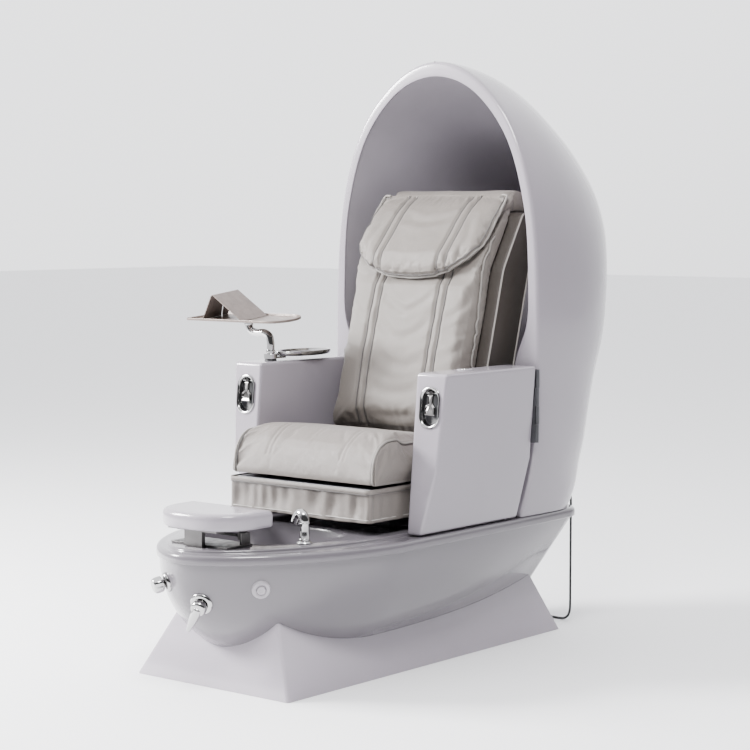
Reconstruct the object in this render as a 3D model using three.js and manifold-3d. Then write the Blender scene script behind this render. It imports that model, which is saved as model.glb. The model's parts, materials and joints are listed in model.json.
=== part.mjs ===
// Pedicure spa chair: a boat-shaped foot basin on a flared plinth, an egg-shaped hood,
// a sliding and reclining massage seat, and two swing-out arm boxes.
// Millimetres, +Z up. The origin is on the floor, under the middle of the plinth;
// -Y is the bow, where the feet go, and +X is the sitter's left-hand side.
import * as THREE from 'three';
import { mergeVertices } from 'three/addons/utils/BufferGeometryUtils.js';
import Module from 'manifold-3d';

const wasm = await Module();
wasm.setup();

// ---------- driving dimensions ----------
const GAP = 0.4; // air between two pieces that touch
const FLOOR_CLEAR = 0.2; // the cord lies this far above the floor

// plinth: a rectangle on the floor whose four faces lean inwards
const PLINTH = { halfWidth: 262, front: -595, rear: 568, height: 205, wall: 7 };
const PLINTH_LEAN = { side: 0.509, front: 0.361, rear: 0.24 };

// rim, which is also the plan of the whole tub
const RIM = { low: 328, high: 354, halfWidth: 322, stern: 306, transom: 630, corner: 80 };
const BOW = { start: -220, length: 490, power: 1.75 };
const HULL = { low: 85, wall: 6, sideInset: 218, bowInset: 302, virtualKeel: 60 };

// raised lip and foot basin
const LIP = { halfWidth: 266, bow: -690, high: 363 };
const BASIN = { centre: -350, halfWidth: 176, fore: 190, aft: 150, low: 150, wall: 5 };

// hood: [height, half width, depth behind the front plane, plan power]
const HOOD_FRONT = 310;
const HOOD_SKIN = 7;
const HOOD_SECTIONS = [
  [354.5, 305, 282, 8.0],
  [450, 335, 345, 4.5],
  [550, 353, 392, 3.6],
  [720, 359, 481, 3.0],
  [825, 360, 551, 2.8],
  [935, 358, 601, 2.6],
  [1045, 354, 624, 2.5],
  [1140, 346, 629, 2.4],
  [1230, 332, 603, 2.3],
  [1340, 302, 520, 2.2],
  [1440, 255, 408, 2.1],
  [1530, 175, 297, 2.0],
  [1570, 120, 205, 2.0],
  [1599, 53, 90, 2.0],
];
const HOOD_TOP = 1606;
// right-hand edge of the hood's mouth, [x, z] from the deck to the crown
const MOUTH = [
  [268, 340], [270, 700], [289, 795], [322, 885], [326, 1000], [310, 1205],
  [242, 1404], [122, 1530], [0, 1565],
];

// seat
const SEAT_FRONT = -254;
const SEAT_REAR = 148;
const SEAT_HALF = 258;
const PAN_TOP = 482;
const RAIL_X = 140;

// backrest, built upright about its pivot and then leaned back
const PIVOT = new THREE.Vector3(0, 205, 480);
const RECLINE = THREE.MathUtils.degToRad(15.4);
const BACK_HALF = 250;
const PAD_HALF = 224;

// arm boxes
const ARM = { inner: 271, top: 775, bottom: 358, rear: 288, front: -107, outer: 371 };
const ARM_WAIST = { outer: 353, height: 525 };
const ARM_FOOT = { outer: 309, front: -134 };
const ARM_LEAN = 0.1; // the front face leans forward by this much for each millimetre down
const KNUCKLES = 4;
const HINGE = { x: 366, y: 298.5, radius: 5, low: 566, high: 764 };

// mains cord
const CORD_RADIUS = 3.5;
const COIL = { x: 20, y: 735, inner: 27.5, outer: 49.5, height: 14.4 };

// ---------- materials ----------
const paint = (color, roughness, metalness = 0) =>
  new THREE.MeshStandardMaterial({ color, roughness, metalness });
const gloss = () => paint(0xf1eff4, 0.18);
const greyLining = () => paint(0x8d8b90, 0.5);
const leather = () => paint(0xcfc9c1, 0.45);
const darkLeather = () => paint(0x6a5f58, 0.5);
const chrome = () => paint(0xdcdcdc, 0.08, 1);
const steel = () => paint(0x8f9296, 0.35, 1);
const blackPaint = () => paint(0x2b2b2d, 0.45, 0.4);
const blackPlastic = () => paint(0x1d1d1f, 0.4);
const taupe = () => paint(0x9a8c84, 0.4, 0.5);
const wood = () => paint(0xb58f62, 0.7);
const rubber = () => paint(0x18181a, 0.7);
const pipe = () => paint(0xd6d6d2, 0.4);

// ---------- geometry helpers ----------
const V = (x, y, z) => new THREE.Vector3(x, y, z);

// A closed mesh as a manifold-3d solid.
function solid(geometry) {
  const bare = geometry.index ? geometry.toNonIndexed() : geometry.clone();
  for (const name of Object.keys(bare.attributes)) {
    if (name !== 'position') bare.deleteAttribute(name);
  }
  const merged = mergeVertices(bare, 1e-3);
  return new wasm.Manifold(new wasm.Mesh({
    numProp: 3,
    vertProperties: merged.attributes.position.array,
    triVerts: new Uint32Array(merged.index.array),
  }));
}

// A manifold-3d solid as geometry.
function geometryOf(body) {
  const mesh = body.getMesh();
  const points = new Float32Array(mesh.numVert * 3);
  for (let i = 0; i < mesh.numVert; i++) {
    points.set(mesh.vertProperties.subarray(i * mesh.numProp, i * mesh.numProp + 3), i * 3);
  }
  const geometry = new THREE.BufferGeometry();
  geometry.setAttribute('position', new THREE.BufferAttribute(points, 3));
  geometry.setIndex(new THREE.BufferAttribute(new Uint32Array(mesh.triVerts), 1));
  return geometry;
}

const chair = new THREE.Group();
const backrest = new THREE.Group();
backrest.position.copy(PIVOT);
backrest.rotation.x = -RECLINE;
chair.add(backrest);

function add(name, shape, material, parent = chair) {
  const geometry = shape.isBufferGeometry ? shape : geometryOf(shape);
  const mesh = new THREE.Mesh(geometry, material);
  mesh.name = name;
  parent.add(mesh);
  return mesh;
}

function block(x0, x1, y0, y1, z0, z1) {
  const geometry = new THREE.BoxGeometry(x1 - x0, y1 - y0, z1 - z0);
  geometry.translate((x0 + x1) / 2, (y0 + y1) / 2, (z0 + z1) / 2);
  return solid(geometry);
}

// A round bar between two points.
function bar(from, to, radius, sides = 16, endRadius = radius) {
  const length = from.distanceTo(to);
  const geometry = new THREE.CylinderGeometry(endRadius, radius, length, sides);
  geometry.translate(0, length / 2, 0);
  const turn = new THREE.Quaternion().setFromUnitVectors(
    V(0, 1, 0), to.clone().sub(from).normalize());
  geometry.applyQuaternion(turn);
  geometry.translate(from.x, from.y, from.z);
  return solid(geometry);
}

// A solid of revolution about a line; the profile is [radius, distance along the line].
function turned(profile, origin, direction, sides = 24) {
  const geometry = new THREE.LatheGeometry(profile.map(([r, d]) => new THREE.Vector2(r, d)), sides);
  const turn = new THREE.Quaternion().setFromUnitVectors(V(0, 1, 0), direction.clone().normalize());
  geometry.applyQuaternion(turn);
  geometry.translate(origin.x, origin.y, origin.z);
  return solid(geometry);
}

function circleShape(radius, sides = 12) {
  const shape = new THREE.Shape();
  for (let i = 0; i < sides; i++) {
    const a = (i / sides) * 2 * Math.PI;
    shape[i ? 'lineTo' : 'moveTo'](radius * Math.cos(a), radius * Math.sin(a));
  }
  shape.closePath();
  return shape;
}

// A tube along a smooth curve through the points.
function tube(points, radius, steps, sides = 12) {
  const path = new THREE.CatmullRomCurve3(points, false, 'centripetal');
  return solid(new THREE.ExtrudeGeometry(circleShape(radius, sides), {
    steps, extrudePath: path, curveSegments: 1,
  }));
}

// A body through level rings of equal count, anticlockwise seen from above, lowest first.
function loft(rings) {
  const count = rings[0].length;
  const points = rings.flat().flatMap((p) => [p.x, p.y, p.z]);
  const faces = [];
  for (let k = 0; k + 1 < rings.length; k++) {
    for (let i = 0; i < count; i++) {
      const a = k * count + i;
      const b = k * count + ((i + 1) % count);
      faces.push(a, b, b + count, a, b + count, a + count);
    }
  }
  const cap = (ring, base, up) => {
    const outline = ring.map((p) => new THREE.Vector2(p.x, p.y));
    for (const [a, b, c] of THREE.ShapeUtils.triangulateShape(outline, [])) {
      if (up) faces.push(base + a, base + b, base + c);
      else faces.push(base + c, base + b, base + a);
    }
  };
  cap(rings[0], 0, false);
  cap(rings.at(-1), (rings.length - 1) * count, true);
  const geometry = new THREE.BufferGeometry();
  geometry.setAttribute('position', new THREE.BufferAttribute(new Float32Array(points), 3));
  geometry.setIndex(faces);
  return solid(geometry);
}

// A side outline of [y, z] points, pushed out from x = -half to x = +half with bevelled ends.
function sidePrism(outline, half, bevel = 0) {
  const shape = new THREE.Shape(outline.map(([y, z]) => new THREE.Vector2(y, z)));
  const geometry = new THREE.ExtrudeGeometry(shape, {
    depth: 2 * (half - bevel), bevelEnabled: bevel > 0, bevelThickness: bevel,
    bevelSize: bevel * 0.6, bevelOffset: -bevel * 0.6, bevelSegments: 2, curveSegments: 6,
  });
  geometry.translate(0, 0, -(half - bevel));
  // the shape's x, y and depth become y, z and x
  geometry.applyMatrix4(new THREE.Matrix4().makeBasis(V(0, 1, 0), V(0, 0, 1), V(1, 0, 0)));
  return solid(geometry);
}

// A rounded rectangle [x, z] with its centre at (cx, cz), as points.
function roundedOutline(halfX, halfZ, radius, cx = 0, cz = 0, arc = 4) {
  const points = [];
  [[1, 1, 0], [-1, 1, 90], [-1, -1, 180], [1, -1, 270]].forEach(([sx, sz, start]) => {
    for (let i = 0; i <= arc; i++) {
      const a = THREE.MathUtils.degToRad(start + (90 * i) / arc);
      points.push([
        cx + sx * (halfX - radius) + radius * Math.cos(a),
        cz + sz * (halfZ - radius) + radius * Math.sin(a),
      ]);
    }
  });
  return points;
}

// A level outline [x, y] pushed up from z0 to z1, with optional rounded edges.
function slab(outline, z0, z1, bevel = 0) {
  const shape = new THREE.Shape(outline.map(([x, y]) => new THREE.Vector2(x, y)));
  const geometry = new THREE.ExtrudeGeometry(shape, {
    depth: z1 - z0 - 2 * bevel, bevelEnabled: bevel > 0, bevelThickness: bevel,
    bevelSize: bevel, bevelOffset: -bevel, bevelSegments: 2, curveSegments: 6,
  });
  geometry.translate(0, 0, z0 + bevel);
  return solid(geometry);
}

// The same solid after a matrix; a mirror matrix also turns its faces back outwards.
function moved(body, matrix) {
  const geometry = geometryOf(body).applyMatrix4(matrix);
  if (matrix.determinant() < 0) geometry.index.array.reverse();
  return solid(geometry);
}

const mirrored = (body) => moved(body, new THREE.Matrix4().makeScale(-1, 1, 1));

// A turn about a line through a point, along X, in radians.
function turnAboutX(point, angle) {
  return new THREE.Matrix4().makeTranslation(point)
    .multiply(new THREE.Matrix4().makeRotationX(angle))
    .multiply(new THREE.Matrix4().makeTranslation(point.clone().negate()));
}

// ---------- the tub's plan ----------
// One level ring of the hull. width, stern: half widths amidships and at the transom.
function planRing(width, stern, bowY, transom, corner, z, power = BOW.power) {
  const half = [];
  const cornerX = stern - corner;
  const cornerY = transom - corner;
  for (let i = 0; i <= 4; i++) {
    const a = (Math.PI / 2) * (1 - i / 4);
    half.push([cornerX + corner * Math.cos(a), cornerY + corner * Math.sin(a)]);
  }
  for (let i = 1; i <= 3; i++) {
    const t = i / 4;
    half.push([stern + (width - stern) * (1 - (1 - t) ** 2), cornerY + (BOW.start - cornerY) * t]);
  }
  for (let i = 0; i < 10; i++) {
    const a = (Math.PI / 2) * (i / 10);
    half.push([
      width * Math.cos(a) ** (2 / power),
      BOW.start - (BOW.start - bowY) * Math.sin(a) ** (2 / power),
    ]);
  }
  const left = half.map(([x, y]) => V(x, y, z));
  const right = half.map(([x, y]) => V(-x, y, z)).reverse();
  // clockwise from the transom along +X, over the bow tip and back: reversed to run anticlockwise
  return [...left, V(0, bowY, z), ...right].reverse();
}

const bowTip = BOW.start - BOW.length;

// How far the hull has drawn in at a height, as a part of its full inset.
function hullCurve(z) {
  const s = Math.min((RIM.low - z) / (RIM.low - HULL.virtualKeel), 0.999);
  return s > 0 ? 1 - Math.sqrt(1 - s * s) : 0;
}

function hullRing(z, grow = 0) {
  const drawn = hullCurve(z);
  const width = RIM.halfWidth - 8 - HULL.sideInset * drawn + grow;
  const stern = Math.min(RIM.stern - 8 - 0.667 * Math.max(RIM.low - z, 0), width) + grow;
  const bowY = bowTip + 8 + HULL.bowInset * drawn - grow;
  const transom = RIM.transom - 12 - 0.1 * Math.max(RIM.low - z, 0) + grow;
  return planRing(width, stern, bowY, transom, RIM.corner - 8 + grow, z);
}

const HULL_LEVELS = [85, 103, 135, 180, 245, 327.6];
const hullSolid = (grow = 0) => loft([
  ...HULL_LEVELS.map((z, i) => hullRing(z, grow).map((p) => V(p.x, p.y, i ? z : z - grow))),
]);

// The y of the hull's bow wall at a height, at x off the middle line.
function hullBowY(x, z) {
  const drawn = hullCurve(z);
  const width = RIM.halfWidth - 8 - HULL.sideInset * drawn;
  const bowY = bowTip + 8 + HULL.bowInset * drawn;
  return BOW.start - (BOW.start - bowY) * (1 - (Math.abs(x) / width) ** BOW.power) ** (1 / BOW.power);
}

function hullNormal(x, z) {
  const step = 2;
  const p = (dx, dz) => V(x + dx, hullBowY(x + dx, z + dz), z + dz);
  const along = p(step, 0).sub(p(-step, 0));
  const up = p(0, step).sub(p(0, -step));
  return along.cross(up).normalize();
}

// ---------- plinth and chassis ----------
function plinthRing(z, wall) {
  const x = PLINTH.halfWidth - PLINTH_LEAN.side * z - wall;
  const front = PLINTH.front + PLINTH_LEAN.front * z + wall;
  const rear = PLINTH.rear - PLINTH_LEAN.rear * z - wall;
  return [V(x, front, z), V(x, rear, z), V(-x, rear, z), V(-x, front, z)];
}

function buildPlinth() {
  const outer = loft([plinthRing(0, 0), plinthRing(PLINTH.height, 0)]);
  const inner = loft([plinthRing(-1, PLINTH.wall), plinthRing(PLINTH.height + 1, PLINTH.wall)]);
  add('plinth_skirt', outer.subtract(inner).subtract(hullSolid(GAP)), gloss());

  const board = loft([plinthRing(0, PLINTH.wall + 0.8), plinthRing(12, PLINTH.wall + 0.8)]);
  const service = block(-75, 75, 340, 460, -1, 13);
  add('base_board', board.subtract(service), wood());

  let frame = block(-150, 150, -400, -370, 12.4, 52).add(block(-150, 150, 20, 50, 12.4, 52));
  frame = frame.add(block(-150, 150, 270, 300, 12.4, 52));
  for (const x of [-150, 120]) {
    frame = frame.add(block(x, x + 30, -430, 480, 12.4, 52));
    for (const y of [-330, 0, 300]) frame = frame.add(block(x, x + 30, y, y + 60, 51, 84.6 - GAP));
  }
  add('chassis_frame', frame, blackPaint());
}

// ---------- hull ----------
const CONTROLS = {
  diverter: { x: -68, z: 271 },
  mixer: { x: 46, z: 229 },
  airSwitch: { x: 170, z: 268 },
};
for (const spot of Object.values(CONTROLS)) {
  spot.point = V(spot.x, hullBowY(spot.x, spot.z), spot.z);
  spot.normal = hullNormal(spot.x, spot.z);
  if (spot.normal.y > 0) spot.normal.negate();
}
const along = (spot, distance) => spot.point.clone().addScaledVector(spot.normal, distance);

const DRAIN = V(0, BASIN.centre, BASIN.low);

function buildHull() {
  const floor = HULL.low + HULL.wall;
  const inner = loft(HULL_LEVELS.map((z, i) =>
    hullRing(i ? z : floor, -HULL.wall).map((p) => V(p.x, p.y, i ? z + 1 : floor))));
  let hull = hullSolid().subtract(inner);
  for (const spot of Object.values(CONTROLS)) {
    hull = hull.subtract(bar(along(spot, -25), along(spot, 25), 12.5, 20));
  }
  hull = hull.subtract(bar(V(DRAIN.x, DRAIN.y, 70), V(DRAIN.x, DRAIN.y, 120), 24, 20));
  add('tub_hull', hull, gloss());
}

// ---------- rim, raised lip and basin in one moulding ----------
function basinRing(z, scale, grow) {
  const ring = [];
  const count = 28;
  for (let i = 0; i < count; i++) {
    const a = (i / count) * 2 * Math.PI;
    const reach = Math.sin(a) > 0 ? BASIN.aft : BASIN.fore;
    const power = Math.sin(a) > 0 ? 2.6 : 2.1;
    const c = Math.sign(Math.cos(a)) * Math.abs(Math.cos(a)) ** (2 / power);
    const s = Math.sign(Math.sin(a)) * Math.abs(Math.sin(a)) ** (2 / power);
    ring.push(V((BASIN.halfWidth * scale + grow) * c, BASIN.centre + (reach * scale + grow) * s, z));
  }
  return ring;
}

function lipRing(z, inset) {
  return planRing(LIP.halfWidth - inset, LIP.halfWidth - inset, LIP.bow + inset, -60, 30, z);
}

const SEAT_HOLE = { half: 186, front: -112, rear: 236 };
const JET = V(0, 0, 236);

function buildDeck() {
  const edge = (z, inset) => planRing(
    RIM.halfWidth - inset, RIM.stern - inset, bowTip + inset, RIM.transom - inset, RIM.corner - inset, z);
  let deck = loft([
    edge(RIM.low, 3), edge(RIM.low + 3, 0), edge(RIM.high - 6, 0), edge(RIM.high - 2, 2), edge(RIM.high, 6),
  ]);
  deck = deck.add(loft([lipRing(340, 0), lipRing(LIP.high - 3, 0), lipRing(LIP.high, 4)]));
  deck = deck.subtract(loft([edge(RIM.low - 1, 12), edge(RIM.high - 7, 12)]));
  const bowl = (grow, top) => loft([
    basinRing(BASIN.low - grow, 0.62, grow),
    basinRing(BASIN.low - grow + 14, 0.78, grow),
    basinRing(BASIN.low + 50, 0.88, grow),
    basinRing(300, 0.94, grow),
    basinRing(top, top > 355 ? 1 : 0.98, grow),
  ]);
  deck = deck.add(bowl(BASIN.wall, 352)).subtract(bowl(0, LIP.high + 1));
  deck = deck.subtract(block(-SEAT_HOLE.half, SEAT_HOLE.half, SEAT_HOLE.front, SEAT_HOLE.rear, 320, 380));
  deck = deck.subtract(block(-200, 200, 330, 560, 320, 380));
  deck = deck.subtract(bar(V(DRAIN.x, DRAIN.y, 130), V(DRAIN.x, DRAIN.y, 170), 23, 20));
  deck = deck.subtract(bar(V(JET.x, -260, JET.z), V(JET.x, -170, JET.z), 31, 24));
  add('deck_and_basin', deck, gloss());
}

// ---------- water fittings ----------
const SPOUT = V(176, -436, LIP.high);

function buildWater() {
  const up = V(0, 0, 1);
  add('drain_strainer', turned([
    [0, -8], [20, -8], [20, 0.5], [31, 0.5], [31, 2.5], [26, 4], [0, 4],
  ], V(DRAIN.x, DRAIN.y, DRAIN.z), up, 24), chrome());
  add('drain_pipe', tube([
    V(0, BASIN.centre, 136), V(0, BASIN.centre, 100), V(0, BASIN.centre + 4, 62),
    V(0, BASIN.centre + 34, 40), V(0, BASIN.centre + 80, 36), V(0, -80, 36), V(0, -10, 36),
  ], 19, 16, 12), pipe());

  const rear = V(0, 1, 0);
  const jetFace = -228.5;
  let grille = turned([
    [0, 0], [33, 0], [41, 4], [41, 7], [30, 7], [30, 16], [28.5, 16], [28.5, 5], [0, 5],
  ], V(JET.x, jetFace, JET.z), rear, 20);
  for (let i = 0; i < 6; i++) {
    const a = (i / 6) * 2 * Math.PI;
    const spot = V(JET.x + 16 * Math.cos(a), jetFace, JET.z + 16 * Math.sin(a));
    grille = grille.subtract(bar(spot.clone().setY(jetFace - 5), spot.clone().setY(jetFace + 10), 5, 8));
  }
  add('jet_cover', grille, gloss());
  let impeller = turned([[0, 8], [7, 8], [7, 30], [0, 30]], V(JET.x, jetFace, JET.z), rear, 16);
  for (let i = 0; i < 5; i++) {
    const blade = solid(new THREE.BoxGeometry(20, 14, 2.4).rotateX(0.5).translate(16, jetFace + 20, 0));
    const turn = new THREE.Matrix4().makeTranslation(0, 0, JET.z)
      .multiply(new THREE.Matrix4().makeRotationY((i / 5) * 2 * Math.PI));
    impeller = impeller.add(moved(blade, turn));
  }
  add('jet_impeller', impeller, blackPlastic());
  add('jet_motor', turned([
    [0, 31], [28, 31], [28, 44], [36, 44], [36, 92], [30, 96], [0, 96],
  ], V(JET.x, jetFace, JET.z), rear, 24), blackPlastic());

  // spout: a flanged socket on the lip and a swan-necked spout that turns in it
  add('spout_flange', turned([
    [9.5, 0.4], [19, 0.4], [19, 3], [15, 7], [9.5, 7], [9.5, 0.4],
  ], SPOUT, up, 24), chrome());
  const at = (dx, dy, dz) => V(SPOUT.x + dx, SPOUT.y + dy, SPOUT.z + dz);
  const neck = turned([
    [0, 0.8], [9, 0.8], [9, 7.4], [13, 7.4], [11.5, 30], [12.5, 52], [0, 52],
  ], SPOUT, up, 20);
  const bend = [at(0, 0, 46), at(-1, 0, 60), at(-12, 3, 73), at(-27, 7, 66), at(-36, 9, 52)];
  const head = tube(bend, 12.2, 12, 14);
  add('spout', neck.add(head), chrome());
}

// ---------- controls on the bow ----------
function stem(spot) {
  return turned([[0, -32], [9, -32], [9, -6], [11, -6], [11, 6], [6, 6], [6, 12], [0, 12]],
    spot.point, spot.normal, 12);
}

function escutcheon(spot, radius, proud) {
  const cup = turned([
    [8, -14], [radius, -14], [radius, proud - 3], [radius - 3, proud], [8, proud], [8, -14],
  ], spot.point, spot.normal, 20);
  return cup.subtract(hullSolid(GAP).subtract(bar(along(spot, -25), along(spot, 25), 12.1, 20)));
}

function buildControls() {
  const { diverter, mixer, airSwitch } = CONTROLS;
  add('diverter_valve', stem(diverter).add(escutcheon(diverter, 25, 8)), chrome());
  let knob = turned([[0, 12.6], [19, 12.6], [21, 16], [20, 34], [15, 38], [0, 38]],
    diverter.point, diverter.normal, 20);
  knob = knob.subtract(bar(along(diverter, 5), along(diverter, 12.8), 7, 18));
  add('diverter_knob', knob, chrome());

  add('mixer_valve', stem(mixer).add(escutcheon(mixer, 29, 7)), chrome());
  let lever = turned([[0, 12.6], [20, 12.6], [20, 24], [15, 30], [0, 31]], mixer.point, mixer.normal, 22);
  const down = V(-0.62, 0, -1).projectOnPlane(mixer.normal).normalize().addScaledVector(mixer.normal, 0.1);
  const root = along(mixer, 24);
  lever = lever.add(bar(root, root.clone().addScaledVector(down, 70), 11, 14, 5.5));
  add('mixer_lever', lever, chrome());

  const ring = turned([
    [11.6, -16], [23, -16], [23, 4], [20, 7], [11.6, 7], [11.6, -16],
  ], airSwitch.point, airSwitch.normal, 20).subtract(hullSolid(GAP));
  add('air_switch_ring', ring, gloss());
  add('air_switch_button', turned([[0, -8], [11, -8], [11, 9], [9, 11], [0, 12]],
    airSwitch.point, airSwitch.normal, 20), gloss());
}

// ---------- footrest ----------
const FOOTREST = { low: 410, high: 452, half: 142, rear: -507, front: -684 };
const FOOT_PIVOT = V(0, -560, 388);

function buildFootrest() {
  const outline = [[-FOOTREST.half + 14, FOOTREST.rear], [-FOOTREST.half, FOOTREST.rear - 14]];
  for (let i = 0; i <= 12; i++) {
    const a = Math.PI + (Math.PI * i) / 12;
    outline.push([
      FOOTREST.half * Math.sign(Math.cos(a)) * Math.abs(Math.cos(a)) ** 0.8,
      FOOTREST.rear - 60 + (FOOTREST.rear - 60 - FOOTREST.front) * Math.sin(a),
    ]);
  }
  outline.push([FOOTREST.half, FOOTREST.rear - 14], [FOOTREST.half - 14, FOOTREST.rear]);
  add('footrest_pad', slab(outline.reverse(), FOOTREST.low, FOOTREST.high, 8), gloss());

  // fixed bracket with two ears, and a folded steel plate that carries the pad
  let bracket = block(-96, 96, -632, -540, LIP.high + GAP, LIP.high + 5);
  for (const x of [-92, 86]) {
    bracket = bracket.add(block(x, x + 6, -576, -544, LIP.high + 4, 397));
  }
  const pinHole = bar(V(-100, FOOT_PIVOT.y, FOOT_PIVOT.z), V(100, FOOT_PIVOT.y, FOOT_PIVOT.z), 4.6, 16);
  const pin = bar(V(-91, FOOT_PIVOT.y, FOOT_PIVOT.z), V(91, FOOT_PIVOT.y, FOOT_PIVOT.z), 4, 16);
  add('footrest_bracket', bracket.add(pin), chrome());
  let carrier = block(-83, 83, -656, -545, 404.5, FOOTREST.low - GAP);
  for (const x of [-83, 77]) carrier = carrier.add(block(x, x + 6, -574, -546, 380, 405));
  const stop = block(-30, 30, -652, -640, 364, 405);
  add('footrest_carrier', carrier.subtract(pinHole).add(stop), steel());
}

// ---------- hood ----------
// Half width, depth and power at a height, on smooth curves through the sections.
function hoodSection(z) {
  const s = HOOD_SECTIONS;
  if (z <= s[0][0]) return s[0].slice(1);
  let k = s.findIndex((row) => row[0] > z) - 1;
  if (k < 0) k = s.length - 2;
  const t = (z - s[k][0]) / (s[k + 1][0] - s[k][0]);
  return [1, 2, 3].map((c) => s[k][c] + (s[k + 1][c] - s[k][c]) * t);
}

// The hood's outer form drawn in by inset; front: its front plane; low: its bottom.
function hoodForm(inset, front, low, arc) {
  const base = HOOD_SECTIONS[0][0];
  const stretch = (HOOD_TOP - inset - low) / (HOOD_TOP - base);
  return loft(HOOD_LEVELS.map((level) => {
    const [width, depth, power] = hoodSection(level);
    const z = low + (level - base) * stretch;
    const ring = [];
    for (let i = 0; i <= arc; i++) {
      const a = Math.PI * (i / arc);
      const c = Math.sign(Math.cos(a)) * Math.abs(Math.cos(a)) ** (2 / power);
      const s = Math.sin(a) ** (2 / power);
      const half = Math.max(width - inset, 6);
      const reach = Math.max(depth - inset, 6) + HOOD_FRONT - front;
      ring.push(V(half * c, front + reach * s, z));
    }
    return ring;
  }));
}

const HOOD_LEVELS = [354.5, 450, 550, 700, 860, 1020, 1150, 1280, 1390, 1480, 1545, 1585, 1604];

function mouthOutline() {
  const left = MOUTH.slice(0, -1).map(([x, z]) => [-x, z]).reverse();
  const edge = new THREE.SplineCurve([...MOUTH, ...left].map(([x, z]) => new THREE.Vector2(x, z)));
  return edge.getPoints(48).map((p) => [p.x, p.y]);
}

function buildHood() {
  const gland = bar(V(CORD_EXIT.x, 560, CORD_EXIT.z), V(CORD_EXIT.x, 680, CORD_EXIT.z), CORD_HOLE, 16);
  const shell = hoodForm(0, HOOD_FRONT, 354.5, 22)
    .subtract(hoodForm(HOOD_SKIN, HOOD_FRONT + HOOD_SKIN, 353, 22))
    .subtract(plate(mouthOutline(), HOOD_FRONT - 20, HOOD_FRONT + HOOD_SKIN + 2));
  add('hood_shell', shell.subtract(gland), gloss());

  const linerFront = HOOD_FRONT + HOOD_SKIN + 0.6;
  const liner = hoodForm(HOOD_SKIN + 14, linerFront, 354.5, 18)
    .subtract(hoodForm(HOOD_SKIN + 19, linerFront - 20, 350, 18));
  add('hood_liner', liner.subtract(gland), greyLining());
}

const CORD_HOLE = 9;
const CORD_EXIT = V(220, 638, 392);

// ---------- arm boxes ----------
const armFrontY = (z) => ARM.front - ARM_LEAN * (ARM.top - z);

// An arm box as a solid, drawn in by inset and, when drawn in, running out through the open bottom.
function armSolid(inset) {
  const outline = (face) => {
    const y = (z) => (face === 'front' ? armFrontY(z) + inset : ARM.rear - inset);
    const footY = face === 'front' ? ARM_FOOT.front + inset : ARM.rear - inset;
    const top = ARM.top - inset;
    return [
      V(ARM.inner + inset, y(ARM.bottom), ARM.bottom),
      V(ARM_FOOT.outer - inset, footY, ARM.bottom),
      V(ARM_WAIST.outer - inset, y(ARM_WAIST.height), ARM_WAIST.height),
      V(ARM.outer - inset, y(top), top),
      V(ARM.inner + inset, y(top), top),
    ];
  };
  const front = outline('front');
  const rear = outline('rear');
  if (inset) [...front.slice(0, 2), ...rear.slice(0, 2)].forEach((p) => { p.z -= 5; });
  const points = [...front, ...rear].flatMap((p) => [p.x, p.y, p.z]);
  const faces = [0, 1, 2, 0, 2, 3, 0, 3, 4, 5, 7, 6, 5, 8, 7, 5, 9, 8];
  for (let i = 0; i < 5; i++) {
    const j = (i + 1) % 5;
    faces.push(i, i + 5, j + 5, i, j + 5, j);
  }
  const geometry = new THREE.BufferGeometry();
  geometry.setAttribute('position', new THREE.BufferAttribute(new Float32Array(points), 3));
  geometry.setIndex(faces);
  return solid(geometry);
}

const LATCH = { x: 321, z: 688, halfWidth: 28, halfHeight: 49 };
function latchOutline(grow) {
  return roundedOutline(LATCH.halfWidth + grow, LATCH.halfHeight + grow, LATCH.halfWidth + grow - 0.5,
    LATCH.x, LATCH.z, 4);
}

// A flat [x, z] outline pushed along y.
function plate(outline, y0, y1) {
  const shape = new THREE.Shape(outline.map(([x, z]) => new THREE.Vector2(x, z)));
  const geometry = new THREE.ExtrudeGeometry(shape, { depth: y1 - y0, bevelEnabled: false });
  geometry.applyMatrix4(new THREE.Matrix4().makeBasis(V(1, 0, 0), V(0, 0, 1), V(0, -1, 0)));
  geometry.translate(0, y1, 0);
  return solid(geometry);
}

const latchPaddleOutline = () => {
  const { x, z } = LATCH;
  return [
    [x - 14, z - 26], [x + 14, z - 26], [x + 14, z + 2], [x + 7, z + 9], [x + 7, z + 33],
    [x - 7, z + 33], [x - 7, z + 9], [x - 14, z + 2],
  ];
};

const BUTTON = V(314, 42, ARM.top);
const POST = V(-315, -21, ARM.top);
const TRAY_TILT = THREE.MathUtils.degToRad(7); // the tray's front edge hangs lower
const DISH = { x: -306, y: 103, halfX: 55, halfY: 104 };

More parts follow.
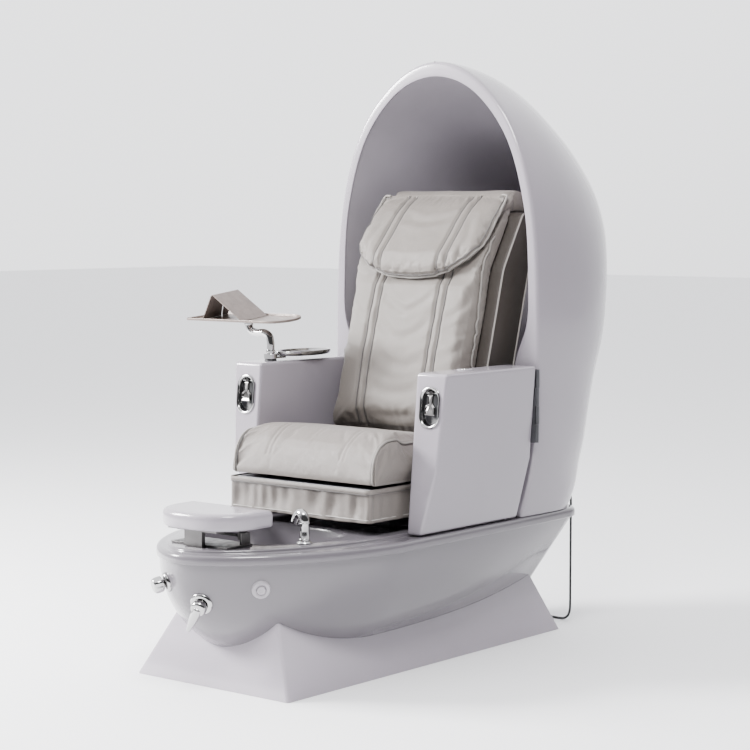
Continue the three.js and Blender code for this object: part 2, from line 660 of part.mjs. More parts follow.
function buildArm(side) {
  const name = side > 0 ? 'left' : 'right';
  const place = (body) => (side > 0 ? body : mirrored(body));
  const faceY = armFrontY(LATCH.z);
  const lean = turnAboutX(V(0, faceY, LATCH.z), -Math.atan(ARM_LEAN));
  let shell = armSolid(0).subtract(armSolid(7));
  shell = shell.subtract(moved(plate(latchOutline(1.2), faceY - 30, faceY + 26), lean));
  if (side > 0) shell = shell.subtract(bar(V(BUTTON.x, BUTTON.y, 760), V(BUTTON.x, BUTTON.y, 780), 16, 24));
  if (side < 0) shell = shell.subtract(bar(V(-POST.x, POST.y, 760), V(-POST.x, POST.y, 780), 13, 24));
  add(`arm_shell_${name}`, place(shell), gloss());

  // latch: a dished oval housing let into the front face, with a bottle-shaped paddle
  const pinLine = [-20.5, 20.5].map((dx) => V(LATCH.x + dx, faceY + 8, LATCH.z + 38));
  const housing = plate(latchOutline(0), faceY - 2, faceY + 24)
    .add(plate(latchOutline(5), faceY - 2.5, faceY - 0.5))
    .subtract(plate(latchOutline(-3), faceY - 12, faceY + 20))
    .add(bar(...pinLine, 2.2, 10));
  add(`latch_housing_${name}`, place(moved(housing, lean)), chrome());
  const paddle = plate(latchPaddleOutline(), faceY - 1, faceY + 5)
    .add(block(LATCH.x - 6, LATCH.x + 6, faceY + 1, faceY + 12, LATCH.z + 30, LATCH.z + 43))
    .subtract(bar(...pinLine, 2.6, 10));
  add(`latch_paddle_${name}`, place(moved(paddle, lean)), chrome());

  // vertical hinge: a leaf on the arm's rear face and a leaf on the hood's front lip, on one pin
  const axis = (z) => V(HINGE.x, HINGE.y, z);
  const step = (HINGE.high - HINGE.low) / KNUCKLES;
  let armLeaf = block(HINGE.x - 52, HINGE.x - 2, ARM.rear + 0.6, ARM.rear + 2.6, HINGE.low, HINGE.high);
  let hoodLeaf = block(HINGE.x - 40, HINGE.x - 2, HOOD_FRONT - 3, HOOD_FRONT - 1, HINGE.low, HINGE.high);
  for (let i = 0; i < KNUCKLES; i++) {
    const low = HINGE.low + i * step;
    const knuckle = bar(axis(low + GAP), axis(low + step - GAP), HINGE.radius, 12);
    const slot = block(HINGE.x - 7, HINGE.x + 7, HINGE.y - 7, HINGE.y + 13, low - GAP, low + step + GAP);
    if (i % 2) {
      armLeaf = armLeaf.subtract(slot.intersect(block(HINGE.x - 7, 400, 280, 320, 0, 999)));
      hoodLeaf = hoodLeaf.add(knuckle)
        .add(block(HINGE.x - 4, HINGE.x, HINGE.y, HOOD_FRONT - 1.2, low + GAP, low + step - GAP));
    } else {
      hoodLeaf = hoodLeaf.subtract(slot);
      armLeaf = armLeaf.add(knuckle)
        .add(block(HINGE.x - 4, HINGE.x, ARM.rear + 1, HINGE.y, low + GAP, low + step - GAP));
    }
  }
  const bore = bar(axis(HINGE.low - 2), axis(HINGE.high + 2), 2.9, 10);
  const pin = bar(axis(HINGE.low + 1), axis(HINGE.high - 1), 2.4, 10);
  add(`hinge_leaf_arm_${name}`, place(armLeaf.subtract(bore)), blackPaint());
  add(`hinge_leaf_hood_${name}`, place(hoodLeaf.add(pin)), blackPaint());
}

function buildArmFittings() {
  const up = V(0, 0, 1);
  // call button on the left arm
  add('arm_button_ring', turned([
    [11.6, -9], [15.4, -9], [15.4, 0.5], [21, 0.5], [20, 3], [11.6, 3], [11.6, -9],
  ], BUTTON, up, 20), gloss());
  add('arm_button', turned([[0, -7], [11, -7], [11, 3.4], [9.5, 4.6], [0, 5]], BUTTON, up, 24), chrome());

  // tray post on the right arm
  add('post_collar', turned([
    [11.4, -30], [12.5, -30], [12.5, 0.5], [17, 0.5], [16, 5], [11.4, 5], [11.4, -30],
  ], POST, up, 24), blackPlastic());
  add('tray_post', tube([
    V(POST.x, POST.y, 748), V(POST.x, POST.y, 790), V(POST.x, POST.y, 828), V(POST.x - 6, POST.y, 845),
    V(POST.x - 22, POST.y, 852), V(POST.x - 54, POST.y, 852), V(POST.x - 74, POST.y, 858),
    V(POST.x - 82, POST.y, 874), V(POST.x - 82, POST.y, 882),
  ], 11, 20, 10), chrome());
  const socket = V(POST.x - 82, POST.y, 882);

  // tray: a thin plate with a turned-up edge, a folded hand rest on it and its wire prop
  const trayTurn = new THREE.Group();
  trayTurn.position.set(socket.x, socket.y, socket.z + 6.5);
  trayTurn.rotation.x = TRAY_TILT;
  chair.add(trayTurn);
  const outline = [];
  for (let i = 0; i <= 8; i++) {
    const a = -Math.PI / 2 + (Math.PI * i) / 8;
    outline.push([112 + 62 * Math.cos(a), 2 + 62 * Math.sin(a)]);
  }
  outline.push([-150, 64], [-190, -60]);
  const trayPlate = slab(outline, 0, 7)
    .subtract(slab(outline.map(([x, y]) => [x * 0.985, y * 0.96]), 1.6, 8))
    .add(moved(turned([[0, -6], [19, -6], [19, -4], [8, 0.5], [0, 0.5]], V(0, 0, 0), up, 20),
      new THREE.Matrix4().makeRotationX(-TRAY_TILT)));
  add('tray_plate', trayPlate, taupe(), trayTurn);
  const ridge = [[-134, 2], [-92, 72], [-84, 74], [22, 2]];
  const fold = new THREE.Shape([
    ...ridge.map(([x, z]) => new THREE.Vector2(x, z)),
    new THREE.Vector2(18, 2), new THREE.Vector2(-84.6, 71.6), new THREE.Vector2(-90.8, 69.6),
    new THREE.Vector2(-131, 2),
  ].reverse());
  const rest = new THREE.ExtrudeGeometry(fold, { depth: 104, bevelEnabled: false });
  rest.applyMatrix4(new THREE.Matrix4().makeBasis(V(1, 0, 0), V(0, 0, 1), V(0, -1, 0)));
  rest.translate(0, 54, 0);
  add('hand_rest', rest, taupe(), trayTurn);
  add('hand_rest_prop', geometryOf(tube([V(-62, -44, 2.4), V(-57, -46, 22), V(-50, -47, 44)], 1.6, 8, 8)),
    steel(), trayTurn);

  // oval dish on a clamp that turns on the post
  const bracket = turned([[11.6, 6], [19, 6], [19, 20], [11.6, 20], [11.6, 6]], POST, up, 20)
    .add(slab([[-327, 30], [-327, -8], [-303, -8], [-303, 30]].reverse(), ARM.top + 6, ARM.top + 10.6)
      .subtract(bar(V(POST.x, POST.y, 770), V(POST.x, POST.y, 800), 15, 20)));
  add('dish_bracket', bracket, blackPlastic());
  const dish = new THREE.LatheGeometry([
    [0, 11], [46, 11], [54, 15], [55, 24], [52, 26], [49, 23], [45, 16], [0, 15],
  ].map(([r, z]) => new THREE.Vector2(r / 55, z)), 32);
  dish.applyMatrix4(new THREE.Matrix4().makeBasis(V(DISH.halfX, 0, 0), V(0, 0, 1), V(0, -DISH.halfY, 0)));
  dish.translate(DISH.x, DISH.y, ARM.top);
  add('side_dish', geometryOf(solid(dish)), chrome());
}

// ---------- seat ----------
function buildSeat() {
  const legs = { x: RAIL_X, ys: [-60, 180] };
  let pedestal = block(-160, 160, -80, -50, 360, 391.6).add(block(-160, 160, 170, 200, 360, 391.6));
  for (const x of [-legs.x, legs.x]) {
    pedestal = pedestal.add(block(x - 20, x + 20, -80, 200, 370, 391.6));
    for (const y of legs.ys) {
      pedestal = pedestal.add(block(x - 15, x + 15, y - 15, y + 15, HULL.low + HULL.wall + 0.6, 371));
    }
  }
  add('seat_pedestal', pedestal, blackPaint());
  for (const [x, name] of [[RAIL_X, 'left'], [-RAIL_X, 'right']]) {
    const rail = block(x - 20, x + 20, -180, 200, 392, 416)
      .subtract(block(x - 16.5, x + 16.5, -181, 201, 396, 417));
    add(`slide_rail_${name}`, rail, steel());
  }
  let frame = block(-230, 230, -238, -212, 440, 466).add(block(-242, 242, 100, 126, 440, 466));
  for (const x of [-RAIL_X, RAIL_X]) {
    frame = frame.add(block(x - 13, x + 13, -238, 126, 440, 466));
    frame = frame.add(block(x - 15.5, x + 15.5, -100, 120, 397, 441));
  }
  for (const side of [-1, 1]) {
    const lug = block(236, 242, 100, 190, 440, 470)
      .add(block(236, 242, 150, 222, 440, 497))
      .subtract(bar(V(230, PIVOT.y, PIVOT.z), V(250, PIVOT.y, PIVOT.z), 8.5, 24));
    frame = frame.add(side > 0 ? lug : mirrored(lug));
  }
  add('seat_frame', frame, blackPaint());
  add('seat_pan', block(-232, 232, -246, 140, 466.5, PAN_TOP), wood());

  const cushion = [
    [SEAT_FRONT, PAN_TOP + 4], [SEAT_FRONT - 4, 520], [SEAT_FRONT - 2, 550], [SEAT_FRONT + 8, 578],
    [SEAT_FRONT + 28, 598], [SEAT_FRONT + 58, 610], [SEAT_FRONT + 100, 615], [-60, 606], [60, 590],
    [112, 578], [138, 563], [SEAT_REAR, 530],
    [SEAT_REAR, PAN_TOP + 4],
  ];
  add('seat_cushion', sidePrism(cushion, SEAT_HALF, 14), leather());

  const outer = block(-248, 248, -268, 90, 396, 480);
  const inner = block(-236, 236, -256, 95, 390, 466 - 1).add(block(-236, 236, -250, 95, 460, 481));
  add('seat_skirt', outer.subtract(inner), leather());
}

// ---------- backrest, in its own upright frame about the pivot ----------
// Forward is -y here. Side outlines are [y, z].
const SHELL_FRONT = -55;

function buildBackrest() {
  const shellSide = [[65, 60], [65, 735], [-5, 735], [SHELL_FRONT, 560], [SHELL_FRONT, 60]];
  const openFront = [[-20, 705], [-70, 530], [-80, 530], [-80, 72], [30, 72], [30, 705]];
  let shell = sidePrism(shellSide, BACK_HALF, 12);
  shell = shell.subtract(sidePrism([[55, 72], [55, 722], [0, 722], [-47, 556], [-47, 72]], BACK_HALF - 14));
  shell = shell.subtract(sidePrism(openFront, 190));
  for (const x of [-232, 226]) shell = shell.subtract(block(x - 4, x + 10, -30, 45, 50, 80));
  add('back_shell', shell, darkLeather(), backrest);

  // steel frame: two uprights with pivot plates, joined by three cross tubes
  let frame = null;
  const join = (body) => { frame = frame ? frame.add(body) : body; };
  for (const side of [-1, 1]) {
    const upright = block(208, 228, 20, 40, 84, 700)
      .add(block(226, 232, -16, 40, -14, 150))
      .add(bar(V(226, 0, 0), V(246, 0, 0), 8, 24));
    join(side > 0 ? upright : mirrored(upright));
  }
  for (const z of [110, 400, 680]) join(block(-210, 210, 22, 38, z - 8, z + 8));
  // two guide rails for the massage mechanism
  for (const x of [-92, 92]) join(block(x - 7, x + 7, 4, 24, 104, 690));
  add('back_frame', frame, blackPaint(), backrest);

  const pad = [
    [-56, 72], [-56, 561], [-6, 736], [-6, 786], [-22, 788], [-34, 768], [-57, 705], [-93, 630],
    [-124, 545], [-127, 300], [-120, 110], [-108, 84], [-85, 76],
  ];
  const roll = [[-20, 738], [-20, 784], [-12, 797], [14, 807], [46, 800], [66, 776], [66, 738]];
  add('back_pad', sidePrism(pad.slice().reverse(), PAD_HALF, 14)
    .add(sidePrism(roll.slice().reverse(), 214, 8)), leather(), backrest);

  const flapFront = [[-168, 505], [-165, 535], [-156, 570], [-124, 630], [-86, 705], [-46, 779]];
  const flapRear = [[-35.5, 770], [-58.5, 706], [-94.5, 631], [-125.6, 546], [-129, 500]];
  const flap = sidePrism([...flapFront, ...flapRear], 224, 10);
  // rounded lower corners, cut by an upright prism with the flap's front outline
  const trim = [[-226, 790], [-226, 660]];
  for (let i = 0; i <= 10; i++) {
    const a = Math.PI + (Math.PI * i) / 10;
    trim.push([226 * Math.sign(Math.cos(a)) * Math.abs(Math.cos(a)) ** 0.88, 650 + 148 * Math.sin(a)]);
  }
  trim.push([226, 660], [226, 790]);
  add('headrest_flap', flap.intersect(plate(trim, -240, 40)), leather(), backrest);

  // massage mechanism: a carriage on the guide rails, and its kneading shaft
  const carriage = block(-112, 112, -13, 3.4, 300, 400)
    .add(block(-126, -113, -34, 3.4, 318, 382)).add(block(113, 126, -34, 3.4, 318, 382))
    .add(block(-114, -110, -18, 3.4, 318, 382)).add(block(110, 114, -18, 3.4, 318, 382))
    .add(block(-60, 60, 3, 20, 320, 380))
    .subtract(bar(V(-130, -26, 350), V(130, -26, 350), 5.6, 16));
  add('massage_carriage', carriage, blackPaint(), backrest);
  let shaft = bar(V(-125, -26, 350), V(125, -26, 350), 5, 12);
  for (const [x, lean] of [[-70, 5], [-40, -5], [40, 5], [70, -5]]) {
    shaft = shaft.add(bar(V(x - 9, -26, 350 + lean), V(x + 9, -26, 350 + lean), 7, 14));
  }
  add('massage_rollers', shaft, rubber(), backrest);
}

// ---------- power supply and mains cord ----------
function buildPower() {
  const boxOutline = roundedOutline(80, 55, 8, 0, 340);
  add('power_box', slab(boxOutline, HULL.low + HULL.wall + 0.6, 190, 3), blackPlastic());
  const exitY = CORD_EXIT.y;
  add('cord_gland', turned([
    [0, -50], [8, -50], [8, -19], [13, -19], [13, -14], [8, -11], [5, 0], [0, 0],
  ], CORD_EXIT, V(0, 1, 0), 16), blackPlastic());
  const lie = CORD_RADIUS + FLOOR_CLEAR;
  const touch = COIL.outer + CORD_RADIUS + GAP;
  add('power_cord', tube([
    V(220, exitY + GAP, 392), V(220, 648, 392), V(220, 662, 389), V(220, 674, 379), V(220, 680, 362),
    V(220, 681, 330), V(220, 681, 240), V(220, 681, 150), V(220, 681, 60), V(219, 681, 34),
    V(212, 682, 16), V(198, 684, 6), V(180, 686, lie), V(150, 689, lie), V(110, 690, lie),
    V(70, 686, lie), V(40, COIL.y - touch - 0.5, lie), V(COIL.x, COIL.y - touch, lie),
  ], CORD_RADIUS, 46, 8), rubber());
  add('cord_coil', turned([
    [COIL.inner, 0], [COIL.outer, 0], [COIL.outer, COIL.height], [COIL.inner, COIL.height], [COIL.inner, 0],
  ], V(COIL.x, COIL.y, FLOOR_CLEAR), V(0, 0, 1), 32), rubber());

  // the plug lies behind the coil, with the last short length of cord let into it
  const plugAt = V(-50, 838, 13.4);
  const tail = tube([
    V(COIL.x - touch, COIL.y, 10.9), V(-34, 752, 9), V(-37, 770, 6), V(-42, 786, 6), V(-47, 800, 9),
    V(plugAt.x, plugAt.y - 22, plugAt.z),
  ], CORD_RADIUS, 14, 8);
  let plug = turned([[0, -24], [5, -24], [8, -6], [13, 0], [13, 26], [10, 30], [0, 30]],
    plugAt, V(0, 1, 0), 16).add(tail);
  for (const dx of [-7, 7]) {
    const blade = V(plugAt.x + dx, plugAt.y + 28, plugAt.z);
    plug = plug.add(bar(blade, V(blade.x, blade.y + 20, blade.z), 2.4, 8));
  }
  add('power_plug', plug, blackPlastic());
}

buildPlinth();
buildHull();
buildDeck();
buildWater();
buildControls();
buildFootrest();
buildHood();
buildArm(1);
buildArm(-1);
buildArmFittings();
buildSeat();
buildBackrest();
buildPower();

export default chair;
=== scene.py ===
import bpy, bmesh, json
import numpy as np
from math import atan, atan2, copysign, cos, pi, radians, sin, sqrt
from mathutils import Matrix, Vector, noise
from mathutils.bvhtree import BVHTree


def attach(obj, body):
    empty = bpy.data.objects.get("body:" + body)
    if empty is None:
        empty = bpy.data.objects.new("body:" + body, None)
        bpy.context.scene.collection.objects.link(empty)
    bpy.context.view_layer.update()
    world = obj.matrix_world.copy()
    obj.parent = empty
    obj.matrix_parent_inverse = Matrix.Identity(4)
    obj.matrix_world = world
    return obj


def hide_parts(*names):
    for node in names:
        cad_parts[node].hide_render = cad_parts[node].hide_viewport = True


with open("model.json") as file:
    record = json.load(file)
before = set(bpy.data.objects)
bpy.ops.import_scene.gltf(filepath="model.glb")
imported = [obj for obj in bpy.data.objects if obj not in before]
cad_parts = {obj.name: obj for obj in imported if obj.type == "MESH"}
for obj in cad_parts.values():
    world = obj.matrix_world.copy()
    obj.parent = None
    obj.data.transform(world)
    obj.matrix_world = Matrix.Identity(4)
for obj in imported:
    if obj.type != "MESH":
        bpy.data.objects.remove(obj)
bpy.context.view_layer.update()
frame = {"nodes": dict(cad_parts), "record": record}
nodes = frame["nodes"]


# ---------- small tools ----------
def mm(*values):
    """Millimetres as a vector in metres."""
    return Vector([v / 1000 for v in values])


def linked(name, data):
    """A new object in the scene."""
    obj = bpy.data.objects.new(name, data)
    bpy.context.scene.collection.objects.link(obj)
    return obj


def smooth(obj, angle=40):
    obj.data.shade_smooth()
    obj.data.set_sharp_from_angle(angle=radians(angle))
    return obj


def mesh_piece(name, points, faces, angle=40):
    mesh = bpy.data.meshes.new(name)
    mesh.from_pydata([tuple(p) for p in points], [], faces)
    mesh.validate()
    return smooth(linked(name, mesh), angle)


def outward(obj):
    """Faces turned to point out."""
    work = bmesh.new()
    work.from_mesh(obj.data)
    bmesh.ops.remove_doubles(work, verts=work.verts, dist=1e-6)
    bmesh.ops.recalc_face_normals(work, faces=work.faces)
    work.to_mesh(obj.data)
    work.free()
    return obj


def grid_faces(rows, columns, closed=False):
    """Quads between rows of equal length; closed joins each row's ends."""
    across = columns if closed else columns - 1
    return [
        (r * columns + c, r * columns + (c + 1) % columns,
         (r + 1) * columns + (c + 1) % columns, (r + 1) * columns + c)
        for r in range(rows - 1) for c in range(across)
    ]


def circle(count):
    """Evenly spaced angles of one whole turn."""
    return [2 * pi * i / count for i in range(count)]


def bulge(value, power):
    """A power that keeps the sign of its value."""
    return copysign(abs(value) ** power, value)


def loft(name, rings, capped=True, angle=40):
    """A skin through closed rings of equal count."""
    count = len(rings[0])
    faces = grid_faces(len(rings), count, closed=True)
    if capped:
        faces += [tuple(range(count))[::-1], tuple((len(rings) - 1) * count + i for i in range(count))]
    return smooth(outward(mesh_piece(name, [p for ring in rings for p in ring], faces, angle)), angle)


def turned(name, profile, origin, direction, sides=64):
    """A solid of revolution; the profile is [radius, distance along direction] in millimetres."""
    turn = Vector(direction).to_track_quat("Z", "Y").to_matrix()
    rings = [[Vector(origin) + turn @ mm(radius * cos(a), radius * sin(a), distance)
              for a in circle(sides)] for radius, distance in ((max(r, 1e-3), d) for r, d in profile)]
    return loft(name, rings, profile[0] != profile[-1])


def rod(name, radius, low, high, origin, direction, sides=32):
    """A plain cylinder between two distances along its line, in millimetres."""
    return turned(name, [[0, low], [radius, low], [radius, high], [0, high]], origin, direction, sides)


def lengths_along(points):
    """Each point's distance along the line that the points make."""
    return np.concatenate([[0], np.cumsum(np.linalg.norm(np.diff(points, axis=0), axis=1))])


def curve_through(points, count):
    """Evenly spaced points on a smooth curve through the given ones."""
    p = np.array([tuple(v) for v in points], float)
    p = np.vstack([2 * p[0] - p[1], p, 2 * p[-1] - p[-2]])
    fine = []
    for i in range(1, len(p) - 2):
        knots = [0.0]
        for a, b in zip(p[i - 1:i + 2], p[i:i + 3]):
            knots.append(knots[-1] + max(np.linalg.norm(b - a), 1e-9) ** 0.5)
        t = np.linspace(knots[1], knots[2], 24, endpoint=False)[:, None]
        a = [((knots[k + 1] - t) * p[i - 1 + k] + (t - knots[k]) * p[i + k]) / (knots[k + 1] - knots[k])
             for k in range(3)]
        b = [((knots[k + 2] - t) * a[k] + (t - knots[k]) * a[k + 1]) / (knots[k + 2] - knots[k])
             for k in range(2)]
        fine.append(((knots[2] - t) * b[0] + (t - knots[1]) * b[1]) / (knots[2] - knots[1]))
    fine = np.vstack([*fine, p[-2:-1]])
    lengths = lengths_along(fine)
    stops = np.linspace(0, lengths[-1], count)
    return [Vector([np.interp(stop, lengths, fine[:, k]) for k in range(3)]) for stop in stops]


CAP_SHARES = (0.35, 0.65, 0.88, 0.985)      # where the rings of a tube's round end stand


def swept(name, points, radii, count=48, sides=24, round_ends=True, closed=False):
    """A tube through points, with radii (metres) at even shares of its length."""
    line = [Vector(p) for p in points] if closed else curve_through(points, count)
    count = len(line)
    shares = np.linspace(0, 1, len(radii))
    up = None
    rings = []
    for i, place in enumerate(line):
        ahead = line[(i + 1) % count] if closed or i + 1 < count else place
        behind = line[i - 1] if closed or i else place
        along = (ahead - behind).normalized()
        if up is None:
            up = along.orthogonal().normalized()
        up = (up - along * up.dot(along)).normalized()
        side = along.cross(up)
        radius = float(np.interp(i / (count - 1), shares, radii))
        ring = [place + (up * cos(a) + side * sin(a)) * radius for a in circle(sides)]
        rings.append(ring)
        if not closed and round_ends and i in (0, count - 1):
            sign = -1 if i == 0 else 1
            caps = [[place + (p - place) * sqrt(1 - share * share) + along * sign * radius * share * 0.5
                     for p in ring] for share in CAP_SHARES]
            rings = caps[::-1] + rings if i == 0 else rings + caps
    if closed:
        rings.append(rings[0])
    return loft(name, rings, not closed, 60)


def applied(obj):
    """The object with its modifiers applied."""
    bpy.context.view_layer.update()
    mesh = bpy.data.meshes.new_from_object(obj.evaluated_get(bpy.context.evaluated_depsgraph_get()))
    obj.modifiers.clear()
    obj.data = mesh
    return obj


def cut(obj, *cutters, operation="DIFFERENCE"):
    """Cutters taken from a piece, or joined to it, and removed from the scene."""
    for cutter in cutters:
        modifier(obj, "BOOLEAN", operation=operation, solver="EXACT", object=cutter)
    applied(obj)
    for cutter in cutters:
        bpy.data.objects.remove(cutter)
    return smooth(obj)


def modifier(obj, kind, **settings):
    step = obj.modifiers.new(kind.lower(), kind)
    for key, value in settings.items():
        setattr(step, key, value)
    return obj


def soften(obj, width, segments, angle):
    """Small rounded edges on a hard piece."""
    return modifier(obj, "BEVEL", width=width, segments=segments, limit_method="ANGLE",
                    angle_limit=radians(angle), harden_normals=False, use_clamp_overlap=True)


def thicken(obj, thickness):
    """A wall given to an open skin, on its inner side."""
    return applied(modifier(obj, "SOLIDIFY", thickness=thickness, offset=-1))


def block(name, low, high):
    """A box between two corners, in millimetres."""
    corners = [mm(*((low, high)[i >> k & 1][k] for k in range(3))) for i in range(8)]
    faces = [(0, 2, 3, 1), (4, 5, 7, 6), (0, 1, 5, 4), (2, 6, 7, 3), (0, 4, 6, 2), (1, 3, 7, 5)]
    return outward(mesh_piece(name, corners, faces))


def prism(name, outline, low, high):
    """An [x, z] outline pushed out between two distances along y, in millimetres."""
    return loft(name, [[mm(x, y, z) for x, z in outline] for y in (low, high)])


def side_prism(name, outline, half):
    """A [y, z] outline in millimetres pushed out to x = -half and +half."""
    return loft(name, [[mm(x, y, z) for y, z in outline] for x in (-half, half)])


def round_box(left, low, right, high, radius, steps):
    """A rectangle's outline with round corners, anticlockwise."""
    corners = [(right - radius, high - radius, 0), (left + radius, high - radius, 90),
               (left + radius, low + radius, 180), (right - radius, low + radius, 270)]
    return [(x + radius * cos(a), y + radius * sin(a)) for x, y, start in corners
            for a in (radians(start + 90 * i / steps) for i in range(steps + 1))]


def round_corner(before, here, after, radius, share, steps):
    """One rounded corner's points, or the corner itself where its sides are too short."""
    h = np.array(here, float)
    a, b = np.array(before, float) - h, np.array(after, float) - h
    reach = min(radius, share * np.linalg.norm(a), share * np.linalg.norm(b))
    if reach < 0.05:
        return [tuple(here)]
    start, end = h + a / np.linalg.norm(a) * reach, h + b / np.linalg.norm(b) * reach
    return [tuple((1 - t) ** 2 * start + 2 * t * (1 - t) * h + t * t * end)
            for t in (i / steps for i in range(steps + 1))]


def arc_profile(corners, radius, steps=4):
    """A profile with its inner corners rounded; all in millimetres."""
    done = [tuple(corners[0])]
    for three in zip(corners, corners[1:], corners[2:]):
        done += round_corner(*three, radius, 0.45, steps)
    return [*done, tuple(corners[-1])]


def rounded_corners(points, radius, steps=8):
    """A closed polygon with every corner rounded."""
    return [p for i, here in enumerate(points)
            for p in round_corner(points[i - 1], here, points[(i + 1) % len(points)], radius, 0.48, steps)]


def coordinates(obj):
    co = np.zeros(len(obj.data.vertices) * 3)
    obj.data.vertices.foreach_get("co", co)
    return co.reshape(-1, 3)


def set_coordinates(obj, co):
    obj.data.vertices.foreach_set("co", np.ascontiguousarray(co, np.float32).ravel())
    obj.data.update()


def normals(obj):
    co = np.zeros(len(obj.data.vertices) * 3)
    obj.data.vertices.foreach_get("normal", co)
    return co.reshape(-1, 3)


def push(obj, move):
    """Moves each point along its normal."""
    set_coordinates(obj, coordinates(obj) + normals(obj) * np.reshape(move, (-1, 1)))
    return obj


def spline(xs, ys, x):
    """A smooth curve through (xs, ys), read at x."""
    xs, ys, x = np.array(xs, float), np.array(ys, float), np.asarray(x, float)
    slope = np.gradient(ys, xs)
    i = np.clip(np.searchsorted(xs, x) - 1, 0, len(xs) - 2)
    h = xs[i + 1] - xs[i]
    t = np.clip((x - xs[i]) / h, 0, 1)
    return ((2 * t**3 - 3 * t**2 + 1) * ys[i] + (t**3 - 2 * t**2 + t) * h * slope[i]
            + (3 * t**2 - 2 * t**3) * ys[i + 1] + (t**3 - t**2) * h * slope[i + 1])


def even(points, count):
    """Points set evenly along an open line of flat or solid points."""
    p = np.array(points, float)
    along = lengths_along(p)
    stops = np.linspace(0, along[-1], count)
    return np.stack([np.interp(stops, along, p[:, k]) for k in range(p.shape[1])], 1)


def sideways(line):
    """The unit vectors across an open or closed flat line, on the left of its way."""
    line = line / np.linalg.norm(line, axis=1)[:, None]
    return np.stack([-line[:, 1], line[:, 0]], 1)


# ---------- camera, floor and light ----------
def make_camera():
    azimuth, pitch = radians(39.48), radians(4.48)
    camera = linked("camera", bpy.data.cameras.new("camera"))
    camera.data.lens, camera.data.sensor_width = 98.06, 36
    camera.location = (3.5207, -4.22, 1.18)
    look = Vector((-sin(azimuth) * cos(pitch), cos(azimuth) * cos(pitch), -sin(pitch)))
    camera.rotation_euler = look.to_track_quat("-Z", "Y").to_euler()
    bpy.context.scene.camera = camera


def area_light(name, place, aim, size, power):
    data = bpy.data.lights.new(name, "AREA")
    data.shape, data.size, data.size_y = "RECTANGLE", size, size
    data.energy = power
    light = linked(name, data)
    light.location = place
    light.rotation_euler = (Vector(aim) - Vector(place)).to_track_quat("-Z", "Y").to_euler()


SKY_WAY = (-0.54, 0.36, 0.76)       # the bright side of the sky
SKY = (0.10, 2.8)                   # its dark and bright strengths
SKY_SPREAD = (-0.1, 0.85)


def make_studio():
    half = 30
    corners = [(-half, -half, 0), (half, -half, 0), (half, half, 0), (-half, half, 0)]
    floor = mesh_piece("studio_floor", corners, [(0, 1, 2, 3)])
    floor.data.materials.append(principled("studio_floor", (0.93, 0.93, 0.94), 0.8))
    world = bpy.data.worlds.new("studio")
    world.use_nodes = True
    tree = world.node_tree
    sky = tree.nodes["Background"]
    sky.inputs["Color"].default_value = (0.97, 0.975, 1.0, 1)
    place = tree.nodes.new("ShaderNodeTexCoord")
    turn = tree.nodes.new("ShaderNodeVectorMath")
    turn.operation = "DOT_PRODUCT"
    turn.inputs[1].default_value = SKY_WAY
    spread = tree.nodes.new("ShaderNodeMapRange")
    spread.interpolation_type = "SMOOTHSTEP"
    for socket, value in zip(("From Min", "From Max", "To Min", "To Max"), SKY_SPREAD + SKY):
        spread.inputs[socket].default_value = value
    tree.links.new(place.outputs["Generated"], turn.inputs[0])
    tree.links.new(turn.outputs["Value"], spread.inputs["Value"])
    tree.links.new(spread.outputs["Result"], sky.inputs["Strength"])
    bpy.context.scene.world = world
    area_light("key", (-3.4, -2.4, 2.6), (0, 0, 0.7), 1.4, 800)
    area_light("top", (1.0, -1.2, 2.7), (-0.15, 0.0, 0.7), 0.8, 85)


# ---------- materials ----------
def principled(name, color, roughness, metallic=0.0, **sockets):
    material = bpy.data.materials.new(name)
    material.use_nodes = True
    shader = material.node_tree.nodes["Principled BSDF"]
    shader.inputs["Base Color"].default_value = (*color, 1)
    shader.inputs["Roughness"].default_value = roughness
    shader.inputs["Metallic"].default_value = metallic
    for socket, value in sockets.items():
        shader.inputs[socket.replace("_", " ")].default_value = value
    return material


